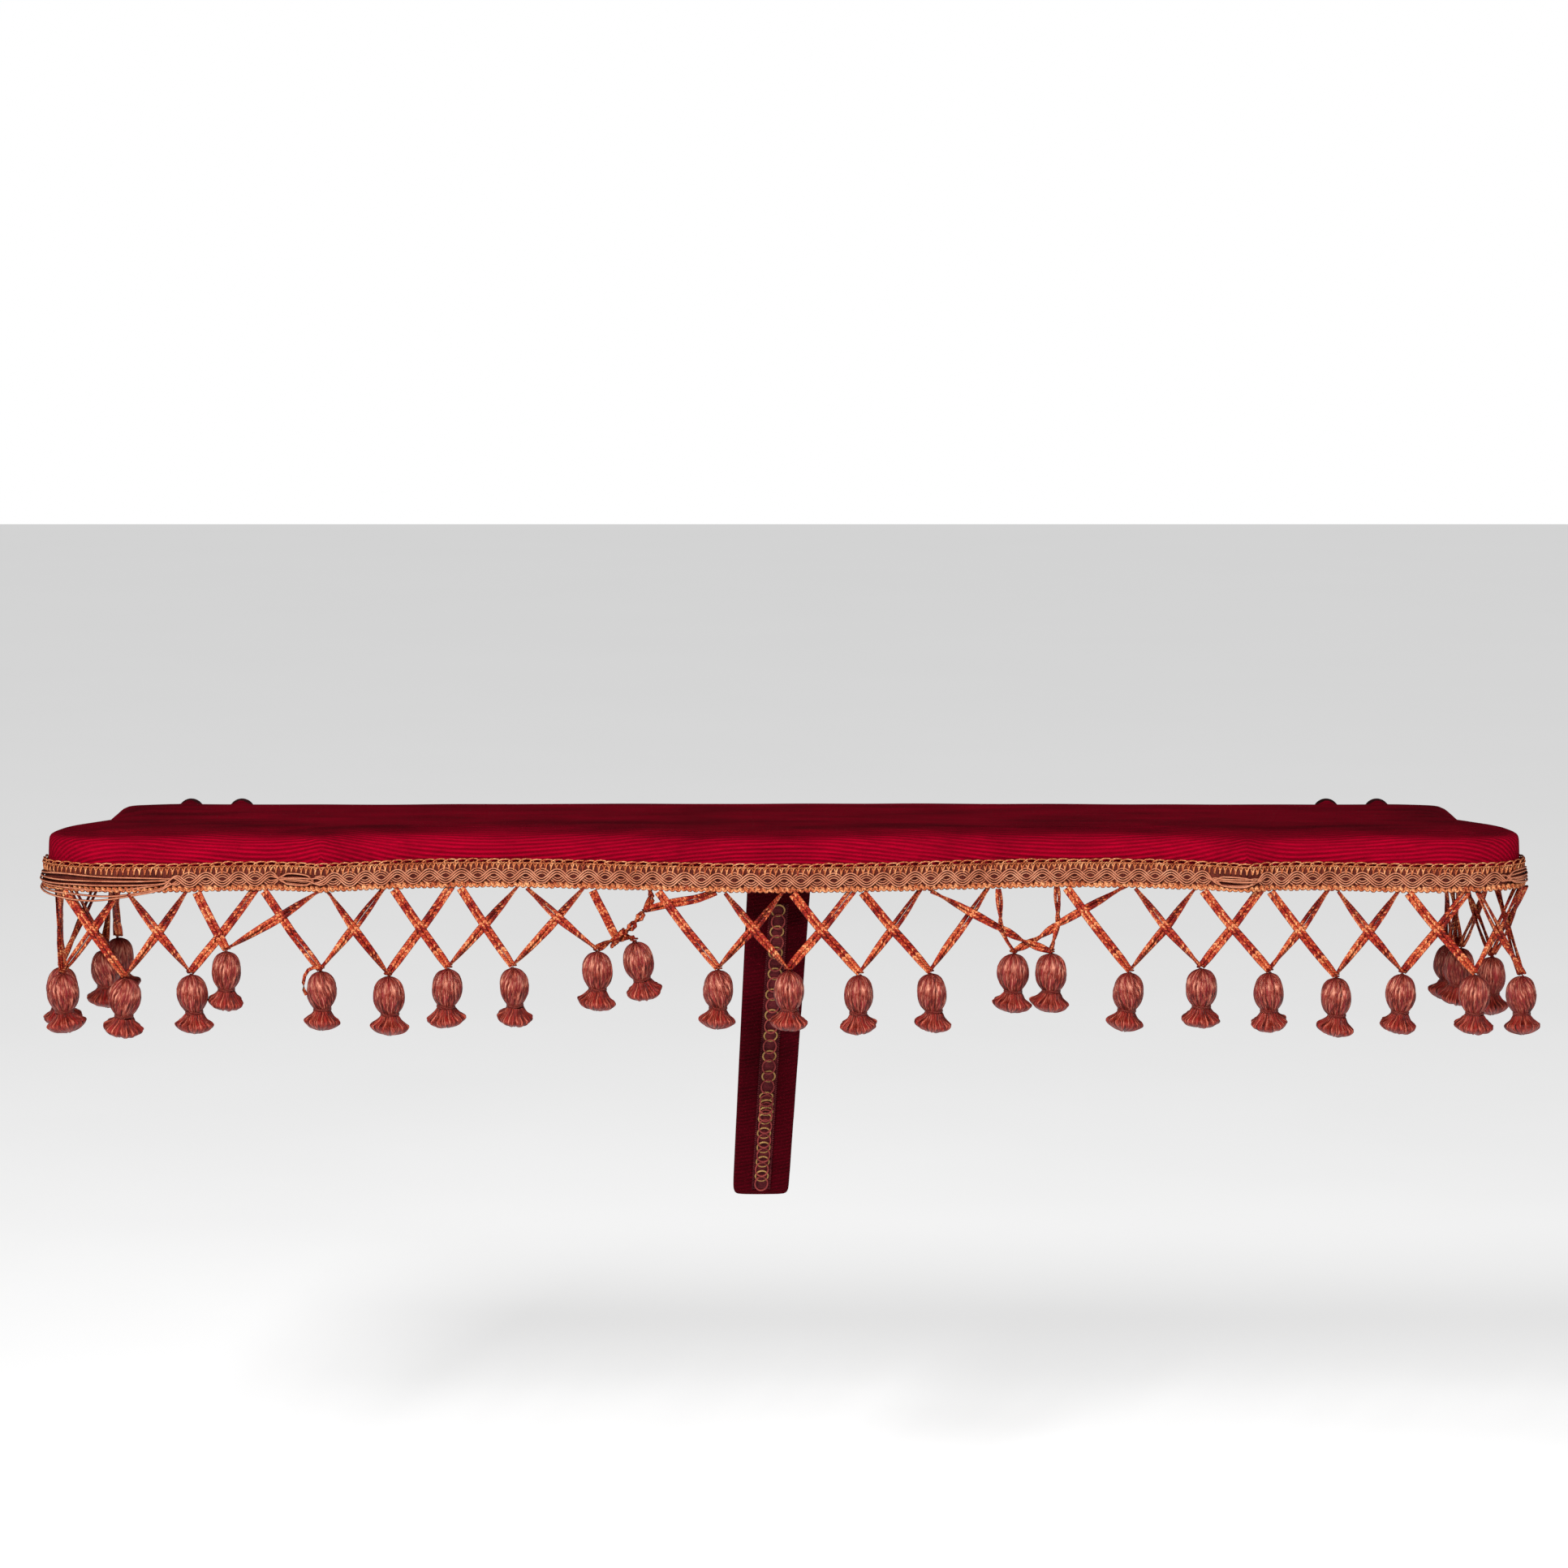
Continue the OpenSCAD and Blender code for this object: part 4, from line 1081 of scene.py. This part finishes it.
def strutVelvet():
    c = strut
    clearSelection()
    bpy.ops.mesh.primitive_cube_add(size=1)
    obj = bpy.context.object
    obj.name = "strutVelvet"
    for v in obj.data.vertices:
        foot = v.co.z < 0
        half = c["footHalf"] if foot else c["topHalf"]
        y = c["front"] if v.co.y < 0 else c["back"]
        lean = math.radians(c["tilt"])
        z = -c["length"] - c["past"] if foot else (c["cutZ"] - c["z"] - y * math.sin(lean)) / math.cos(lean)
        v.co = ((half if v.co.x > 0 else -half) + (c["shift"] if foot else 0), y, z)
    obj.data.transform(Matrix.Scale(0.001, 4))
    bpy.ops.object.mode_set(mode="EDIT")
    bpy.ops.mesh.select_all(action="DESELECT")
    bpy.ops.object.mode_set(mode="OBJECT")
    for edge in obj.data.edges:
        a, b = (obj.data.vertices[k].co for k in edge.vertices)
        if a.z < -0.2 and b.z < -0.2 and abs(a.y - b.y) > 0.005:
            edge.select = True                           # the two corners of the foot
    bpy.ops.object.mode_set(mode="EDIT")
    bpy.ops.mesh.bevel(offset=0.0055, segments=6, affect="EDGES")
    bpy.ops.mesh.select_all(action="DESELECT")
    bpy.ops.object.mode_set(mode="OBJECT")
    for edge in obj.data.edges:
        a, b = (obj.data.vertices[k].co for k in edge.vertices)
        edge.select = abs(a.y - b.y) < 0.001 and not (a.z > -0.02 and b.z > -0.02)
    bpy.ops.object.mode_set(mode="EDIT")
    bpy.ops.mesh.bevel(offset=0.0016, segments=3, affect="EDGES")
    bpy.ops.object.mode_set(mode="OBJECT")
    obj.data.remesh_voxel_size = 0.0022
    bpy.ops.object.voxel_remesh()
    soften = obj.modifiers.new("soften", "SMOOTH")
    soften.factor, soften.iterations = 0.5, 4
    applyAll(obj)
    rows = obj.data.attributes.new("row", "FLOAT", "POINT")
    wornAndLit = obj.data.attributes.new("wornAndLit", "FLOAT", "POINT")
    for v in obj.data.vertices:
        x, y, z = v.co * 1000
        rows.data[v.index].value = -z + 0.24 * x + 0.8 * wobble(z * 0.05, 3.0)
        # painted light: the velvet is lighter towards the strut's two side edges, over random patches
        edgeNear = abs(x - c["shift"] * -z / c["length"]) / (c["topHalf"])
        patchy = 0.5 * wobble(z * 0.03, 5.0)
        wornAndLit.data[v.index].value = 0.25 + patchy + 0.3 * smoothStep((edgeNear - 0.75) / 0.25)
        if y < -10:
            v.co.y -= 0.0003 * (1 - edgeNear ** 2) + 0.0002 * wobble(z * 0.04 + x * 0.05, 7.0)
    obj.data.transform(strutFrame)
    for poly in obj.data.polygons:
        poly.use_smooth = True
    finishPiece(obj, "strut", velvetStrut, "velvet", "strut_velvet")
    return obj


chain = dict(loopR=3.75, cord=0.95, tapeHalf=5.3, start=8.0, end=212.0, bunch=(138.0, 157.0))


def chainPieces():
    c = chain
    clearSelection()
    rowsDown = 60
    bpy.ops.mesh.primitive_grid_add(x_subdivisions=6, y_subdivisions=rowsDown, size=1)
    tape = bpy.context.object
    tape.name = "strutBraidTape"
    for v in tape.data.vertices:
        down = c["start"] + (0.5 - v.co.y) * (c["end"] - c["start"])
        half = c["tapeHalf"] + 0.25 * wobble(down * 0.08, 3.0 + (v.co.x > 0))
        v.co = onStrut(v.co.x * 2 * half, 0.25, down)
    for loop in tape.data.uv_layers[0].data:
        loop.uv = (loop.uv[1] * 200, loop.uv[0])
    wall = tape.modifiers.new("thickness", "SOLIDIFY")
    wall.thickness, wall.offset = 0.0006, 1.0
    applyAll(tape)
    cleanNormals(tape)
    edging = []
    for side in (-1, 1):
        run = []
        n = int((c["end"] - c["start"]) / 1.5)
        for k in range(n * 6 + 1):
            t = k / 6
            down = c["start"] + t * 1.5 - 0.45 * math.sin(math.tau * t)
            across = side * (c["tapeHalf"] + 0.1 - 0.95 * (0.5 - 0.5 * math.cos(math.tau * t)))
            run.append((onStrut(across, 1.1 + 0.25 * math.sin(math.tau * t), down), 0.0, 0.8))
        edging.append(run)
        run = []
        for k in range(n * 4 + 1):
            down = c["start"] + k / 4 * 1.5
            across = side * (c["tapeHalf"] - 1.6) + 0.3 * math.sin(k * 1.57)
            run.append((onStrut(across, 1.2, down), 0.0, 0.75))
        edging.append(run)
    edges = layCords("strutBraidEdging", edging, thick=0.0008, ringSides=1)
    scaledUv(edges, 200)
    band = joined([tape, edges], "strutBraidBand")
    finishPiece(band, "strut", chainTape, "chain_braid", "strut_braid_band")
    gold, rose = [], []
    down, number = c["start"] + 4, 0
    while down < c["end"] - 3:
        run = []
        squeeze = 0.8 if c["bunch"][0] < down < c["bunch"][1] else 1.0
        lean = 0.5 * (1 if number % 2 else -1)
        sway = 0.7 * wobble(number * 0.8, 6.0)
        for k in range(21):
            a = math.tau * k / 20 + 0.3
            across = sway + c["loopR"] * 1.0 * math.cos(a)
            along = down + c["loopR"] * 1.18 * squeeze * math.sin(a)
            lift = 1.75 + 0.85 * math.sin(a) * (1 if number % 2 else -1) + lean * 0.6
            run.append((onStrut(across, lift, along), 0.0, 1.0))
        (rose if number % 2 else gold).append(run)
        down += 2.7 if c["bunch"][0] < down < c["bunch"][1] else (7.3 if down < c["bunch"][0] else 5.3)
        number += 1
    goldLoops = layCords("strutChainGold", gold, thick=c["cord"] / 1000, ringSides=2)
    roseLoops = layCords("strutChainRose", rose, thick=c["cord"] / 1000, ringSides=2)
    for piece, look in ((goldLoops, chainGold), (roseLoops, chainRose)):
        scaledUv(piece, 24)
        finishPiece(piece, "strut", look, "chain_braid", "strut_chain_loops")


strutVelvet()
chainPieces()
print("stage: strut")


# wood, brass and iron parts keep their own shape and take a finish
hardFinishes = {"shelf_board": pine, "strut_core": pine, "lining_tacks": agedBrass,
                "wall_plate_left": darkIron, "wall_plate_right": darkIron, "wall_plate_screws": agedBrass,
                "hinge_leaf_board": agedBrass, "hinge_leaf_board_screws": agedBrass,
                "hinge_leaf_strut": agedBrass, "hinge_leaf_strut_screws": agedBrass, "hinge_pin": dullSteel}
for nodeName, look in hardFinishes.items():
    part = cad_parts[nodeName]
    part.data.materials.clear()
    part.data.materials.append(look)


studio = dict(floorZ=-0.45, camera=(0.0, -2.510, 0.380), pitch=7.6, lens=98.2, fill=0.10, floorGlow=0.58)


def softLight(name, at, target, size, power, colour=(1, 1, 1)):
    data = bpy.data.lights.new(name, "AREA")
    data.shape, data.size, data.size_y = "RECTANGLE", size[0], size[1]
    data.energy, data.color = power, colour
    obj = bpy.data.objects.new(name, data)
    bpy.context.collection.objects.link(obj)
    obj.location = at
    obj.rotation_euler = (Vector(target) - Vector(at)).to_track_quat("-Z", "Y").to_euler()
    return obj


def buildStudio():
    clearSelection()
    bpy.ops.mesh.primitive_plane_add(size=14, location=(0, 2.0, studio["floorZ"]))
    floor = settle(bpy.context.object)
    floor.name = "studioFloor"
    pale = newMaterial("paleFloor")
    speck = pale.grain(pale.place, 3.0, 3.0)
    pale.sets(colour=pale.ramp(speck, (0.3, (0.62, 0.62, 0.62)), (0.7, (0.66, 0.66, 0.66))),
              rough=0.95, specular=0.0)
    glow = pale.mat.node_tree.nodes["Principled BSDF"].inputs
    glow["Emission Color"].default_value = (1, 1, 1, 1)
    glow["Emission Strength"].default_value = studio["floorGlow"]
    floor.data.materials.append(pale.mat)
    softLight("frontSoft", (-0.7, -2.0, 1.25), (0, -0.1, -0.02), (0.55, 0.4), 72)
    softLight("rightSoft", (1.5, -1.9, 0.5), (0, -0.1, 0), (0.6, 0.6), 17)
    softLight("topSoft", (0.2, -0.6, 1.9), (0, -0.1, 0), (1.4, 0.6), 8)
    world = bpy.data.worlds.new("paleWorld")
    world.use_nodes = True
    bpy.context.scene.world = world
    nodes, links = world.node_tree.nodes, world.node_tree.links
    back = nodes["Background"]
    back.inputs["Color"].default_value = (1, 1, 1, 1)
    back.inputs["Strength"].default_value = studio["fill"]
    shown = nodes.new("ShaderNodeBackground")
    shown.inputs["Color"].default_value = (1, 1, 1, 1)
    shown.inputs["Strength"].default_value = 1.0
    rayKind = nodes.new("ShaderNodeLightPath")
    blend = nodes.new("ShaderNodeMixShader")
    links.new(rayKind.outputs["Is Camera Ray"], blend.inputs[0])
    links.new(back.outputs[0], blend.inputs[1])
    links.new(shown.outputs[0], blend.inputs[2])
    links.new(blend.outputs[0], nodes["World Output"].inputs[0])
    eye = bpy.data.cameras.new("eye")
    eye.lens, eye.sensor_width = studio["lens"], 36.0
    camera = bpy.data.objects.new("eye", eye)
    bpy.context.collection.objects.link(camera)
    camera.location = studio["camera"]
    camera.rotation_euler = (math.radians(90 - studio["pitch"]), 0, 0)
    bpy.context.scene.camera = camera
    bpy.context.scene.view_settings.view_transform = "Standard"


buildStudio()
print("stage: studio")
